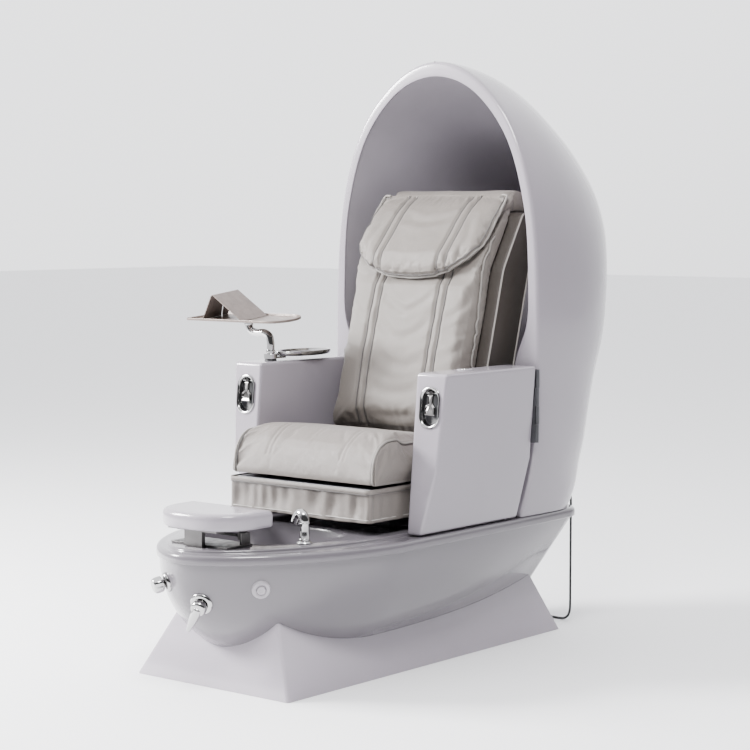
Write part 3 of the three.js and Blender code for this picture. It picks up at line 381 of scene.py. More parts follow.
class Web:
    """Adds nodes to a material."""

    def __init__(self, material):
        self.tree = material.node_tree
        self.shader = self.tree.nodes["Principled BSDF"]
        self.coordinate = self.tree.nodes.new("ShaderNodeTexCoord").outputs["Object"]

    def node(self, kind, inputs, **settings):
        made = self.tree.nodes.new(kind)
        for key, value in settings.items():
            setattr(made, key, value)
        for key, value in inputs.items():
            if isinstance(value, bpy.types.NodeSocket):
                self.tree.links.new(value, made.inputs[key])
            else:
                made.inputs[key].default_value = value
        return made

    def stretched(self, scale):
        return self.node("ShaderNodeMapping", {"Vector": self.coordinate, "Scale": scale}).outputs["Vector"]

    def noise(self, scale, detail, roughness=0.5, vector=None):
        return self.node("ShaderNodeTexNoise", {
            "Vector": vector or self.coordinate, "Scale": scale, "Detail": detail, "Roughness": roughness,
        }).outputs["Fac"]

    def cells(self, scale):
        return self.node("ShaderNodeTexVoronoi", {"Vector": self.coordinate, "Scale": scale},
                         feature="DISTANCE_TO_EDGE").outputs["Distance"]

    def spread(self, value, low, high, start=0.3, end=0.7):
        return self.node("ShaderNodeMapRange", {
            "Value": value, "From Min": start, "From Max": end, "To Min": low, "To Max": high,
        }).outputs["Result"]

    def tint(self, value, dark, light):
        ramp = self.node("ShaderNodeMix", {}, data_type="RGBA")
        self.tree.links.new(value, ramp.inputs["Factor"])
        ramp.inputs[6].default_value, ramp.inputs[7].default_value = (*dark, 1), (*light, 1)
        self.tree.links.new(ramp.outputs[2], self.shader.inputs["Base Color"])

    def rough(self, value):
        self.tree.links.new(value, self.shader.inputs["Roughness"])

    def add(self, a, b, share):
        part = self.node("ShaderNodeMath", {0: b, 1: share}, operation="MULTIPLY").outputs[0]
        return self.node("ShaderNodeMath", {0: a, 1: part}, operation="ADD").outputs[0]

    def bump(self, height, distance, strength):
        made = self.node("ShaderNodeBump", {"Height": height, "Distance": distance, "Strength": strength})
        self.tree.links.new(made.outputs["Normal"], self.shader.inputs["Normal"])


def shade(color, factor):
    return tuple(min(1.0, c * factor) for c in color)


def mottled(name, color, roughness, tone, gloss, relief, metallic=0.0, **sockets):
    """A surface with noise in its colour, gloss and height; each is the noise, then its two limits."""
    material = principled(name, color, roughness, metallic, **sockets)
    web = Web(material)
    web.tint(web.spread(web.noise(*tone[0]), 0, 1), shade(color, tone[1]), shade(color, tone[2]))
    web.rough(web.spread(web.noise(*gloss[0]), gloss[1], gloss[2]))
    web.bump(web.noise(*relief[0]), relief[1], relief[2])
    return material


def gelcoat(name, color):
    """Polished glass-fibre gelcoat: slow waviness, a faint orange peel and wiped dust."""
    return mottled(name, color, 0.2, ((2.2, 4), 0.955, 1.02), ((7, 3), 0.19, 0.255), ((240, 2), 0.0003, 0.12),
                   Coat_Weight=0.5, Coat_Roughness=0.1, Specular_IOR_Level=0.5)


def satin(name, color):
    """Sprayed satin skin with a fine stipple."""
    return mottled(name, color, 0.5, ((3, 5), 0.9, 1.08), ((14, 5), 0.42, 0.6), ((420, 3), 0.0006, 0.35))


def plated(name, color=(0.46, 0.455, 0.455)):
    """Chrome plating with slight waviness, water spots and wiping marks."""
    return mottled(name, color, 0.06, ((12, 4), 0.93, 1), ((45, 6, 0.7), 0.03, 0.13), ((18, 2), 0.0015, 0.08),
                   metallic=1.0)


def powder(name, color, metallic=0.0, roughness=0.45):
    """Powder coat or lacquer with a fine texture and a slightly uneven tone."""
    return mottled(name, color, roughness, ((26, 6, 0.65), 0.82, 1.16),
                   ((70, 4), roughness * 0.8, roughness * 1.25), ((700, 3), 0.0004, 0.3), metallic,
                   Coat_Weight=0.15, Coat_Roughness=0.3)


def moulded(name, color, roughness=0.4, coat=0.0):
    """Injection-moulded plastic with a fine spark texture."""
    return mottled(name, color, roughness, ((16, 4), 0.92, 1.06),
                   ((55, 5), roughness * 0.8, roughness * 1.25), ((900, 2), 0.0003, 0.25),
                   Coat_Weight=coat, Coat_Roughness=0.1)


def leather(name, color, grain=520, wear=1.0):
    """Upholstery leather: pebbled grain, fine pores, faint creases and paler rubbed areas."""
    material = principled(name, color, 0.45, Sheen_Weight=0.12, Sheen_Roughness=0.4, Specular_IOR_Level=0.45)
    web = Web(material)
    blotch = web.add(web.noise(5, 5, 0.6), web.cells(grain), 0.9)
    web.tint(web.spread(blotch, 0, 1, 0.35, 0.95), shade(color, 0.90), shade(color, 1.05 * wear))
    web.rough(web.spread(web.noise(24, 6, 0.65), 0.33, 0.50))
    pebbles = web.spread(web.cells(grain), 0, 1, 0.0, 0.35)
    creased = web.noise(38, 8, 0.7)
    web.bump(web.add(web.add(pebbles, web.noise(grain * 2.4, 2), 0.25), creased, 0.9), 0.0006, 0.55)
    return material


def cloth_grain(name, color):
    """Dense woven lining cloth."""
    material = principled(name, color, 0.85, Sheen_Weight=0.2)
    web = Web(material)
    across, down = (web.node("ShaderNodeTexWave", {"Vector": web.coordinate, "Scale": 420.0},
                             bands_direction=way).outputs["Fac"] for way in "XZ")
    web.tint(web.spread(web.noise(30, 4), 0, 1), shade(color, 0.8), shade(color, 1.2))
    web.bump(web.add(across, down, 1.0), 0.0003, 0.5)
    return material


def brushed(name, color, roughness=0.32):
    """Zinc-plated or brushed steel with drawn lines."""
    material = principled(name, color, roughness, 1.0)
    web = Web(material)
    lines = web.noise(60, 4, 0.6, web.stretched((1, 1, 24)))
    web.rough(web.spread(lines, roughness * 0.75, roughness * 1.35))
    web.tint(web.spread(web.noise(20, 5), 0, 1), shade(color, 0.82), shade(color, 1.08))
    web.bump(lines, 0.0002, 0.25)
    return material


def plywood(name, color):
    """Birch plywood: long figure with darker streaks."""
    material = principled(name, color, 0.65)
    web = Web(material)
    grain = web.noise(7, 8, 0.65, web.stretched((12, 1, 12)))
    web.tint(web.spread(grain, 0, 1), shade(color, 0.65), shade(color, 1.2))
    web.rough(web.spread(grain, 0.55, 0.8))
    web.bump(grain, 0.0006, 0.35)
    return material


WHITE = (0.28, 0.255, 0.288)
HIDE = (0.165, 0.146, 0.131)
M = {name: kind(name, *settings) for name, kind, *settings in [
    ("gelcoat_white", gelcoat, WHITE),
    # the hull's gelcoat is the white gelcoat darkened: painted shade on the hull and deck
    ("gelcoat_hull", gelcoat, shade(WHITE, 0.46)),
    # the foot's gelcoat is the white gelcoat lightened: painted light on the plinth
    ("gelcoat_foot", gelcoat, shade(WHITE, 1.5)),
    ("hood_lining_grey", satin, (0.30, 0.278, 0.31)),
    ("leather_light", leather, HIDE),
    ("leather_seat", leather, (0.175, 0.154, 0.141)),
    ("leather_shell", leather, (0.040, 0.032, 0.027), 520, 1.1),
    ("leather_trim", leather, (0.29, 0.268, 0.25)),
    ("piping_dark", leather, (0.085, 0.078, 0.075), 900),
    ("piping_light", leather, (0.24, 0.222, 0.205), 900),
    ("thread", cloth_grain, (0.55, 0.53, 0.50)),
    ("lining", cloth_grain, (0.03, 0.03, 0.032)),
    ("chrome", plated),
    ("smoked_chrome", plated, (0.27, 0.262, 0.258)),
    ("bright_steel", brushed, (0.34, 0.335, 0.335)),
    # the brackets' steel is the brushed steel darkened: painted shade on the footrest's bracket and carrier
    ("bracket_steel", brushed, (0.13, 0.125, 0.125), 0.4),
    ("black_steel", powder, (0.035, 0.035, 0.04)),
    ("taupe_tray", powder, (0.15, 0.118, 0.104), 0.3, 0.4),
    ("board", plywood, (0.46, 0.34, 0.22)),
    ("black_plastic", moulded, (0.022, 0.022, 0.025)),
    ("white_plastic", moulded, (0.80, 0.80, 0.81), 0.28, 0.3),
    ("pearl_plastic", moulded, (0.34, 0.315, 0.345), 0.3, 0.3),
    ("grey_pipe", moulded, (0.55, 0.55, 0.53), 0.45),
    ("cord_rubber", moulded, (0.02, 0.02, 0.022), 0.5),
]}


def finish_piece(obj, look):
    """Gives a new piece its material and its body, and hides the CAD nodes that it stands for; the record slot
    in its look is not used.
    """
    material, body, slot, *stands_for = look.split()
    obj.data.materials.clear()
    obj.data.materials.append(M[material])
    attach(obj, body)
    if stands_for:
        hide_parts(*stands_for)
    return obj


def fitting(name, look, at, way, sides, rounding, profile, steps=4, holes=()):
    """A turned piece with rounded profile corners and holes; look is what finish_piece is told of it."""
    piece = turned(name, arc_profile(profile, rounding, steps), at, way, sides)
    if holes:
        cut(piece, *holes)
    return finish_piece(piece, look)


# ---------- CAD nodes that stay: their record material, with darkened steel as painted shade on the footrest's bracket and carrier, and softened edges on the hard ones ---
SOFT_EDGES = {
    0.0006: ["slide_rail_left", "slide_rail_right"],
    0.0008: ["footrest_bracket", "footrest_carrier", "dish_bracket"],
    0.001: ["base_board", "power_box", "massage_carriage"],
    0.0015: ["seat_pan", "seat_frame", "back_frame"],
    0.002: ["seat_pedestal", "chassis_frame"],
}
# the footrest's bracket and carrier take the darkened steel instead of their record material: painted shade
PAINTED_SHADE_BRACKETS = ("footrest_bracket", "footrest_carrier")


def dress_nodes():
    for row in frame["record"]["subparts"]:
        holder = nodes[row["node"]].material_slots[0]
        holder.link = "OBJECT"
        # darkened steel on the footrest's bracket and carrier: painted shade
        holder.material = M["bracket_steel" if row["node"] in PAINTED_SHADE_BRACKETS else row["material_slot"]]
    for width, names in SOFT_EDGES.items():
        for piece in (nodes[name] for name in names):
            modifier(piece, "WELD", merge_threshold=1e-5)
            modifier(piece, "DECIMATE", decimate_type="DISSOLVE", angle_limit=radians(0.5))
            soften(piece, width, 2, 40)


# ---------- mains cord ----------
CORD_RADIUS = 0.0035
COIL = {"x": 20, "y": 735, "outer": 46.0, "pitch": 7.5, "turns": 4.25, "low": 3.7, "high": 11.1}
UP, REAR = (0, 0, 1), (0, 1, 0)


def coil_points():
    """Turns wound in along the floor, up, and out again on top of them, to leave on the far side of +X."""
    points = []
    per_turn = 28
    for i in range(1, int(COIL["turns"] * per_turn) + 1):
        turn = i / per_turn
        angle = -pi / 2 - 2 * pi * turn
        radius = COIL["outer"] - COIL["pitch"] * (min(turn, 2) - max(turn - 2.4, 0))
        rise = min(max((turn - 2.0) / 0.4, 0), 1)
        height = COIL["low"] + (COIL["high"] - COIL["low"]) * rise * rise * (3 - 2 * rise)
        points.append((COIL["x"] + radius * cos(angle), COIL["y"] + radius * sin(angle), height))
    return points


def make_cord():
    route = [
        (220, 638.4, 392), (220, 648, 392), (220, 662, 389), (220, 674, 379), (220, 680, 362),
        *[(220, 681, z) for z in (330, 290, 240, 195, 150, 105, 60)], (219, 681, 34), (212, 682, 16),
        (198, 684, 6), (180, 686, 3.7), (150, 688, 3.7), (110, 689.4, 3.7),
        (75, 688.8, 3.7), (45, 688.2, 3.7), (32, 688.4, 3.7),
    ]
    tail = [(-26, 747, 10.9), (-30, 758, 9.4), (-36, 772, 6.6), (-42, 786, 6.2), (-47, 800, 9),
            (-50, 816, 13.2)]
    curve = bpy.data.curves.new("mains_cord", "CURVE")
    curve.dimensions = "3D"
    curve.bevel_depth, curve.bevel_resolution, curve.use_fill_caps = CORD_RADIUS, 5, True
    run = curve.splines.new("POLY")
    line = curve_through([mm(*p) for p in route + coil_points() + tail], 1100)
    run.points.add(len(line) - 1)
    for point, place in zip(run.points, line):
        point.co = (*place, 1)
    cord = linked("mains_cord", curve)
    finish_piece(cord, "cord_rubber base cord_rubber power_cord cord_coil")

    at = mm(-50, 838, 13.4)
    relief = [[0, -24]]
    for i in range(6):
        low, grow = -23 + 3.6 * i, 0.6 * i
        relief += [[radius + grow, low + z] for radius, z in ((4.4, 0), (4.6, 2.2), (3.9, 2.6), (3.9, 3.5))]
    body = turned("plug_body", [
        *relief, [9, -1.4], [11.5, 0.5], [12.6, 4], [12.9, 10], [11.6, 16], [11.9, 22], [12.9, 27],
        [12.6, 29.3], [11.6, 30], [0, 30],
    ], at, REAR, 40)
    plug = finish_piece(body, "cord_rubber base black_plastic power_plug")
    pins = [finish_piece(turned(f"plug_pin_{side}", [[0, 28], [2.4, 28], [2.4, 46], [1.9, 47.6], [0, 48]],
                                at + mm(dx, 0, 0), REAR, 20), "chrome base chrome")
            for side, dx in (("a", -7), ("b", 7))]
    gland = turned("gland_sleeve", [
        [0, -50], [8, -50], [8, -19], [13, -19], [13, -15], [12, -14], [9, -13.4], [8.4, -11], [7.6, -9.6],
        [7.9, -9], [7.1, -7], [7.4, -6.4], [6.4, -4], [6.7, -3.4], [5.6, -1], [5.2, 0], [0, 0],
    ], mm(220, 638, 392), REAR, 40)
    finish_piece(gland, "black_plastic base black_plastic cord_gland")


# ---------- the tub ----------
HULL_TOP, HULL_LEVELS = 328, [85 + 242.6 * (i / 22) ** 1.25 for i in range(23)]
DECK_TOP = 354.5
DRAIN_HOLE, JET_HOLE = (0, -350), (0, -260, 236)


def plan_ring(width, stern, bow_y, transom, corner, z, bow_start=-220, arc=12, side=10, bow=30, power=1.75):
    """A level ring of the boat shape, in millimetres."""
    corner_x, corner_y = stern - corner, transom - corner
    half = []
    for i in range(arc + 1):
        a = pi / 2 * (1 - i / arc)
        half.append((corner_x + corner * cos(a), corner_y + corner * sin(a)))
    for i in range(1, side + 1):
        t = i / (side + 1)
        half.append((stern + (width - stern) * (1 - (1 - t) ** 2), corner_y + (bow_start - corner_y) * t))
    for i in range(bow):
        a = pi / 2 * i / bow
        forward = (bow_start - bow_y) * sin(a) ** (2 / power)
        half.append((width * cos(a) ** (2 / power), bow_start - forward))
    return [mm(x, y, z) for x, y in [*half, (0, bow_y), *[(-x, y) for x, y in reversed(half)]]]


def hull_drawn(z):
    """How far the hull is drawn in at a height, from 0 at the deck."""
    s = min((HULL_TOP - z) / 268, 0.999)
    return 1 - sqrt(1 - s * s) if s > 0 else 0


def hull_ring(z, grow=0.0):
    """The hull's level ring at a height, grown outwards."""
    drawn, below = hull_drawn(z), max(HULL_TOP - z, 0)
    width = 314 - 218 * drawn + grow
    stern = min(298 - 0.667 * below, width) + grow
    return plan_ring(width, stern, -702 + 302 * drawn - grow, 618 - 0.1 * below + grow, 72 + grow, z)


def edge_ring(z, inset):
    """The deck moulding's outer edge."""
    return plan_ring(322 - inset, 306 - inset, -710 + inset, 630 - inset, 80 - inset, z)


def lip_ring(z, inset):
    """The raised lip round the foot basin."""
    return plan_ring(266 - inset, 266 - inset, -690 + inset, -60, 30, z)


def basin_ring(z, scale, grow):
    """A level ring of the foot basin, rounder towards the bow than towards the seat."""
    ring = []
    for a in circle(96):
        reach, power = (150, 2.6) if sin(a) > 0 else (190, 2.1)
        ring.append(mm((176 * scale + grow) * bulge(cos(a), 2 / power),
                       -350 + (reach * scale + grow) * bulge(sin(a), 2 / power), z))
    return ring


def basin_form(name, grow, top):
    """The basin's form with its own upper rings; grow is the wall's thickness outside it."""
    heights = [150, 152, 156, 164, 176, 200, 235, 270, 300, 330]
    scales = [0.60, 0.66, 0.72, 0.78, 0.83, 0.88, 0.908, 0.928, 0.944, 0.965]
    rings = [basin_ring(z - (grow if z < 170 else 0), s, grow) for z, s in zip(heights, scales)]
    return loft(name, rings + [basin_ring(*step) for step in top])


def make_tub():
    hull = loft("hull_moulding", [hull_ring(z) for z in HULL_LEVELS])
    inner = loft("inner", [hull_ring(max(z, 91), -6) for z in [*HULL_LEVELS[1:-1], HULL_TOP + 1]])
    holes = [rod("hole", 12.5, -26, 26, mm(*p), n) for p, n in CONTROLS.values()]
    cut(hull, inner, *holes, rod("hole", 24, -20, 30, mm(*DRAIN_HOLE, 90), UP))
    # darkened gelcoat on the hull: painted shade
    finish_piece(hull, "gelcoat_hull base gelcoat_white tub_hull")

    deck = loft("deck_moulding", [edge_ring(z, inset) for z, inset in [
        (328, 4.5), (328.6, 2.2), (330, 0.7), (332.5, 0), (338, 0), (343.5, 0.3), (347.5, 1.4), (350.6, 3.6),
        (352.8, 6.8), (353.8, 10.5), (354, 15)]])
    lip = loft("lip", [lip_ring(z, inset) for z, inset in [
        (340, -4), (353.6, -4), (354.3, -2.4), (355.6, -0.9), (357.4, 0), (359.6, 0.5), (361.4, 1.7),
        (362.6, 3.8), (363, 6.6)]])
    under = loft("under", [edge_ring(320, 12), edge_ring(347, 12)])
    cut(deck, lip, operation="UNION")
    cut(deck, under)
    bowl_out = basin_form("bowl_out", 5, [(352, 0.985, 5)])
    bowl_in = basin_form("bowl_in", 0, [
        (350, 0.985, 0), (356, 0.995, 0.4), (359.5, 1, 1.6), (361.8, 1, 3.6), (362.9, 1, 6.4),
        (363.4, 1, 9.0)])
    cut(deck, bowl_out, operation="UNION")
    cut(deck, bowl_in, block("hole", (-186, -112, 320), (186, 236, 380)),
        block("hole", (-200, 330, 320), (200, 560, 380)), rod("hole", 23, -10, 30, mm(*DRAIN_HOLE, 140), UP),
        rod("hole", 31, 0, 90, mm(*JET_HOLE), REAR))
    # darkened gelcoat on the deck and basin: painted shade
    finish_piece(deck, "gelcoat_hull base gelcoat_white deck_and_basin")


def make_plinth():
    def ring(z, wall):
        x = 262 - 0.509 * z - wall
        outline = round_box(-x, -595 + 0.361 * z + wall, x, 568 - 0.24 * z - wall, 9, 6)
        return [mm(*p, z) for p in outline]
    steps = [(0, 2), (0.6, 0.8), (2, 0), (100, 0), (205, 0)]
    plinth = loft("plinth_moulding", [ring(z, inset) for z, inset in steps])
    inner = loft("inner", [ring(-1, 7), ring(206, 7)])
    cut(plinth, inner, loft("body", [hull_ring(z, 0.6) for z in HULL_LEVELS]))
    # lightened gelcoat on the plinth: painted light
    finish_piece(plinth, "gelcoat_foot base gelcoat_white plinth_skirt")


# ---------- hood ----------
HOOD = [        # height, half width, depth and the power of the plan's curve
    (354.5, 305, 282, 8.0), (450, 335, 345, 4.5), (550, 353, 392, 3.6), (720, 359, 481, 3.0),
    (825, 360, 551, 2.8), (935, 358, 601, 2.6), (1045, 354, 624, 2.5), (1140, 346, 629, 2.4),
    (1230, 332, 603, 2.3), (1340, 302, 520, 2.2), (1440, 255, 408, 2.1), (1530, 175, 297, 2.0),
    (1570, 120, 205, 2.0), (1599, 53, 90, 2.0), (1606, 0, 3, 2.0),
]
MOUTH = [       # the mouth's edge, half width and height
    (268, 340), (270, 700), (289, 795), (322, 885), (326, 1000), (310, 1205), (242, 1404), (122, 1530),
    (0, 1565)]
HOOD_FRONT, HOOD_TOP, HOOD_ROUND = 310, 1606, 11
HOOD_ROWS, HOOD_COLUMNS = 90, 49
HOOD_MIDDLE = Vector((0, 0.5, 0.95))
HOOD_WALL, LINER_WALL, LINER_INSET = 0.0065, 0.004, 21.5


def hood_section(z):
    """Half width, depth and plan power; smooth in the root of the distance below the crown."""
    u = [sqrt(HOOD_TOP - s[0]) for s in HOOD][::-1]
    here = sqrt(max(HOOD_TOP - z, 0))
    return [float(spline(u, [s[k] for s in HOOD][::-1], here)) for k in (1, 2, 3)]


def hood_outline():
    """Right-hand edge of the hood's front, from the deck to the crown, as [x, z]."""
    dense = []
    for i in range(601):
        z = HOOD_TOP - (HOOD_TOP - DECK_TOP) * (1 - i / 600) ** 2
        dense.append((max(hood_section(z)[0], 0), z))
    dense[-1] = (0, HOOD_TOP)
    return even(dense, HOOD_ROWS)


def mouth_edge():
    """Right-hand half of the mouth's edge, rounded over the crown."""
    whole = [mm(x, 0, z) for x, z in [*MOUTH, *[(-x, z) for x, z in MOUTH[-2::-1]]]]
    half = [(p.x * 1000, p.z * 1000) for p in curve_through(whole, 601)[:301]]
    half[-1] = (0, half[-1][1])
    return half


def both_sides(right):
    return np.concatenate([right, (right * [-1, 1])[::-1][1:]])


def skin_rows(right, inset, front):
    """Level arcs of the hood's skin from its right edge, round the back, to its left edge."""
    rows = []
    for x, z in right:
        half, depth, power = hood_section(z)
        half, depth = max(half - inset, 0.2), max(depth - inset, 0.4)
        z_here = z - inset * max(0, (z - 1150) / (HOOD_TOP - 1150)) ** 2
        row = []
        for a in (pi * i / (HOOD_COLUMNS - 1) for i in range(HOOD_COLUMNS)):
            row.append(mm(half * bulge(cos(a), 2 / power),
                          front + (depth + HOOD_FRONT - front) * sin(a) ** (2 / power), z_here))
        rows.append(row)
    return rows


def hood_skin(name, points, faces, angle, thickness):
    """A skin of the hood, its faces turned away from the middle and thickened inwards."""
    skin = outward(mesh_piece(name, points, faces, angle))
    if sum(copysign(p.area, p.normal.dot(p.center - HOOD_MIDDLE)) for p in skin.data.polygons) < 0:
        skin.data.flip_normals()
    return thicken(skin, thickness)


def make_hood():
    right = hood_outline()
    points = [p for row in skin_rows(right, 0, HOOD_FRONT + HOOD_ROUND) for p in row]
    faces = grid_faces(HOOD_ROWS, HOOD_COLUMNS)
    previous = [r * HOOD_COLUMNS for r in range(HOOD_ROWS)]
    previous += [r * HOOD_COLUMNS + HOOD_COLUMNS - 1 for r in reversed(range(HOOD_ROWS - 1))]
    outline = both_sides(right)
    inwards = sideways(np.gradient(outline, axis=0))
    strips = []
    for a in (pi / 2 * step / 6 for step in range(1, 7)):
        strips.append((outline + inwards * (HOOD_ROUND * (1 - cos(a))),
                       HOOD_FRONT + HOOD_ROUND * (1 - sin(a))))
    last, mouth = strips[-1][0], both_sides(even(mouth_edge(), HOOD_ROWS))
    strips += [(last + (mouth - last) * share, HOOD_FRONT) for share in (0.35, 0.7, 1.0)]
    for line, y in strips:
        current = list(range(len(points), len(points) + len(line)))
        points += [mm(x, y, max(z, DECK_TOP)) for x, z in line]
        faces += [(previous[i], current[i], current[i + 1], previous[i + 1]) for i in range(len(line) - 1)]
        previous = current
    shell = hood_skin("hood_moulding", points, faces, 50, HOOD_WALL)
    soften(shell, 0.0026, 3, 60)
    smooth(applied(shell), 50)
    finish_piece(shell, "gelcoat_white base gelcoat_white hood_shell")

    points = [p for row in skin_rows(right, LINER_INSET, HOOD_FRONT + 7.8) for p in row]
    liner = hood_skin("hood_lining", points, grid_faces(HOOD_ROWS, HOOD_COLUMNS), 60, LINER_WALL)
    smooth(liner, 50)
    finish_piece(liner, "hood_lining_grey base hood_lining_grey hood_liner")


# ---------- water fittings and controls ----------
CONTROLS = {
    "diverter": ((-68, -675.6, 271), (-0.44285, -0.86878, -0.22161)),
    "mixer": ((46, -670.58, 229), (0.33098, -0.85813, -0.39251)),
    "air_switch": ((170, -590.01, 268), (0.74809, -0.6313, -0.20452)),
}
SPOUT = mm(176, -436, 363)
JET_FACE = mm(0, -228.5, 236)


def flute(piece, origin, direction, lobes, depth, low, high):
    """Finger flutes pressed into a turned piece between two distances along its line."""
    turn = np.array(Vector(direction).to_track_quat("Z", "Y").to_matrix())
    rel = (coordinates(piece) - np.array(origin)) @ turn
    angle = np.arctan2(rel[:, 1], rel[:, 0])
    height = rel[:, 2] * 1000
    share = np.clip((height - low) / 3, 0, 1) * np.clip((high - height) / 3, 0, 1)
    rel[:, :2] *= (1 - depth * share * (0.5 + 0.5 * np.cos(lobes * angle)))[:, None]
    set_coordinates(piece, rel @ turn.T + np.array(origin))


def make_bow_controls():
    point, normal = (mm(*CONTROLS["diverter"][0]), CONTROLS["diverter"][1])
    fitting("diverter_escutcheon", "chrome base chrome diverter_valve", point, normal, 72, 1.6, [
        [0, -10], [9, -10], [9, -3], [25.5, -3], [25.5, 2], [23, 6.5], [15, 8.3], [9, 8.8], [8.2, 12.2],
        [0, 12.2]])
    knob = fitting("diverter_knob_grip", "chrome diverter_knob chrome diverter_knob", point, normal, 96, 3, [
        [0, 12.7], [18, 12.7], [20.5, 15], [21, 24], [20, 33], [15, 38], [6, 38.4], [0, 38]], 5)
    flute(knob, point, normal, 6, 0.10, 13, 36)

    point, normal = (mm(*CONTROLS["mixer"][0]), Vector(CONTROLS["mixer"][1]))
    fitting("mixer_escutcheon", "chrome base chrome mixer_valve", point, normal, 72, 1.6, [
        [0, -10], [9, -10], [9, -3], [29.5, -3], [29.5, 1.5], [26, 5.5], [20, 7], [12, 7.6], [10, 12.2],
        [0, 12.2]])
    fitting("mixer_head", "chrome mixer_lever chrome mixer_lever", point, normal, 72, 3, [
        [0, 12.7], [19.4, 12.7], [20, 13.4], [20, 24], [16.5, 29.4], [9, 31.2], [0, 31.4]], 5)
    down = Vector((-0.62, 0, -1))
    down = (down - normal * down.dot(normal)).normalized() + normal * 0.1
    root = point + normal * 0.024
    handle = swept("mixer_handle", [root + down * d for d in (0, 0.016, 0.034, 0.052, 0.068)],
                   [0.0118, 0.0126, 0.0118, 0.0100, 0.0078, 0.0054], 40, 28)
    finish_piece(handle, "chrome mixer_lever chrome")
    ring = root + down * 0.018
    fitting("mixer_handle_ring", "black_plastic mixer_lever black_plastic", ring, down, 40, 0.8, [
        [8.6, 0], [11.3, 0], [11.3, 2.4], [8.6, 2.4], [8.6, 0]])

    point, normal = (mm(*CONTROLS["air_switch"][0]), CONTROLS["air_switch"][1])
    fitting("air_switch_bezel", "pearl_plastic base white_plastic air_switch_ring", point, normal, 72, 1.4, [
        [11.7, -12], [20, -12], [20, -3], [23.4, -3], [23.4, 2.5], [21.5, 6], [18, 7.3], [13.2, 6.6],
        [11.7, 5.4], [11.7, -12]])
    fitting("air_switch_cap", "pearl_plastic air_button white_plastic air_switch_button",
            point, normal, 56, 1.2, [[0, -8], [11, -8], [11, 8.4], [9.6, 10.8], [6, 11], [3, 10.3], [0, 10]])


def make_spout():
    fitting("spout_base", "chrome base chrome spout_flange", SPOUT, UP, 64, 1, [
        [9.6, 0.4], [19.6, 0.4], [19.6, 2.2], [17.6, 4.6], [14.8, 6.2], [13.6, 7.2], [9.6, 7.2], [9.6, 0.4]])
    neck = [(0, 0, 8), (0, 0, 20), (0, 0, 34), (0, 0, 46), (-0.5, 0, 58), (-6, 1.5, 69.5), (-16, 4, 73),
            (-26, 6.6, 67.5), (-32.5, 8.2, 58), (-36, 9, 50)]
    spout = swept("spout_neck", [SPOUT + mm(*p) for p in neck],
                  [0.0132, 0.0124, 0.0114, 0.0114, 0.0122, 0.0128, 0.0128, 0.0128, 0.0132, 0.0128], 60, 40)
    finish_piece(spout, "chrome spout chrome spout")
    fitting("spout_collar", "chrome spout chrome", SPOUT, UP, 64, 0.8, [
        [0, 0.9], [9, 0.9], [9, 7.6], [13.6, 7.6], [14.3, 9], [14.3, 12], [13.4, 13.4], [0, 13.4]])
    fitting("spout_ring", "chrome spout chrome", SPOUT + mm(-0.2, 0, 50), UP, 56, 0.9, [
        [9, 0], [13.6, 0], [13.6, 3], [9, 3], [9, 0]])


def make_basin_fittings():
    drain = mm(*DRAIN_HOLE, 150)
    holes = [rod("hole", 2.2, -12, 12, drain + mm(15 * cos(a), 15 * sin(a), 0), UP, 16)
             for a in circle(10)]
    fitting("drain_rose", "chrome base chrome drain_strainer", drain, UP, 72, 1, [
        [0, -8], [20, -8], [20, 0.5], [31, 0.5], [30.6, 2.2], [27, 3.6], [24, 3.9], [22, 3.2], [8, 3], [6, 4],
        [0, 4.4]], holes=holes)
    holes = [rod("hole", 3.4, -12, 12, JET_FACE + mm(radius * cos(a), 0, radius * sin(a)), REAR, 20)
             for count, radius in ((6, 11), (12, 21)) for a in circle(count)]
    fitting("jet_grille", "white_plastic base white_plastic jet_cover", JET_FACE, REAR, 72, 0.9, [
        [0, 0.6], [20, 0], [33, 0.4], [39, 2.4], [41, 5], [41, 7], [30, 7], [30, 16], [28.5, 16], [28.5, 5],
        [0, 5]], holes=holes)


# ---------- footrest ----------
def inset_outline(outline, distance):
    """A closed [x, y] outline moved inwards; the outline runs anticlockwise."""
    p = np.array(outline, float)
    return p + sideways(np.roll(p, -1, 0) - np.roll(p, 1, 0)) * distance


def cushion_form(name, outline, profile):
    """A form from an outline and [inset, z] steps, in millimetres; deep insets shrink it instead."""
    rings = []
    deepest = 12
    for inset, z in profile:
        ring = inset_outline(outline, min(inset, deepest))
        if inset > deepest:
            middle = (ring.min(0) + ring.max(0)) / 2
            ring = middle + (ring - middle) * (1 - (inset - deepest) / 60)
        rings.append([mm(x, y, z) for x, y in ring])
    return loft(name, rings)


def closed_even(points, count):
    return [tuple(p) for p in even([*points, points[0]], count + 1)[:-1]]


def make_footrest():
    corner = [(-128, -507), (-135, -509), (-140, -514), (-142, -521), (-142, -545)]
    nose = []
    for a in (pi + pi * i / 48 for i in range(1, 48)):
        nose.append((142 * bulge(cos(a), 0.8), -567 + 117 * sin(a)))
    outline = closed_even([*corner, *nose, *[(-x, y) for x, y in reversed(corner)]], 200)
    pad = cushion_form("footrest_cushion", outline, [
        (8, 410), (4, 410.4), (1.8, 412), (0.5, 414.6), (0, 418), (0, 436), (0.4, 440.4), (1.5, 444.4),
        (3.6, 447.8), (6.6, 450), (10.4, 451.2), (24, 451.8), (40, 452)])
    finish_piece(pad, "gelcoat_white footrest gelcoat_white footrest_pad")
    for side, x in (("a", -62), ("b", 62)):
        for end, y in (("front", -640), ("rear", -585)):
            fitting(f"footrest_bolt_{side}_{end}", "chrome footrest chrome",
                    mm(x, y, 404.4), (0, 0, -1), 24, 0.8, [[0, 0], [5.4, 0], [5.4, 2.2], [4, 3.4], [0, 3.6]])


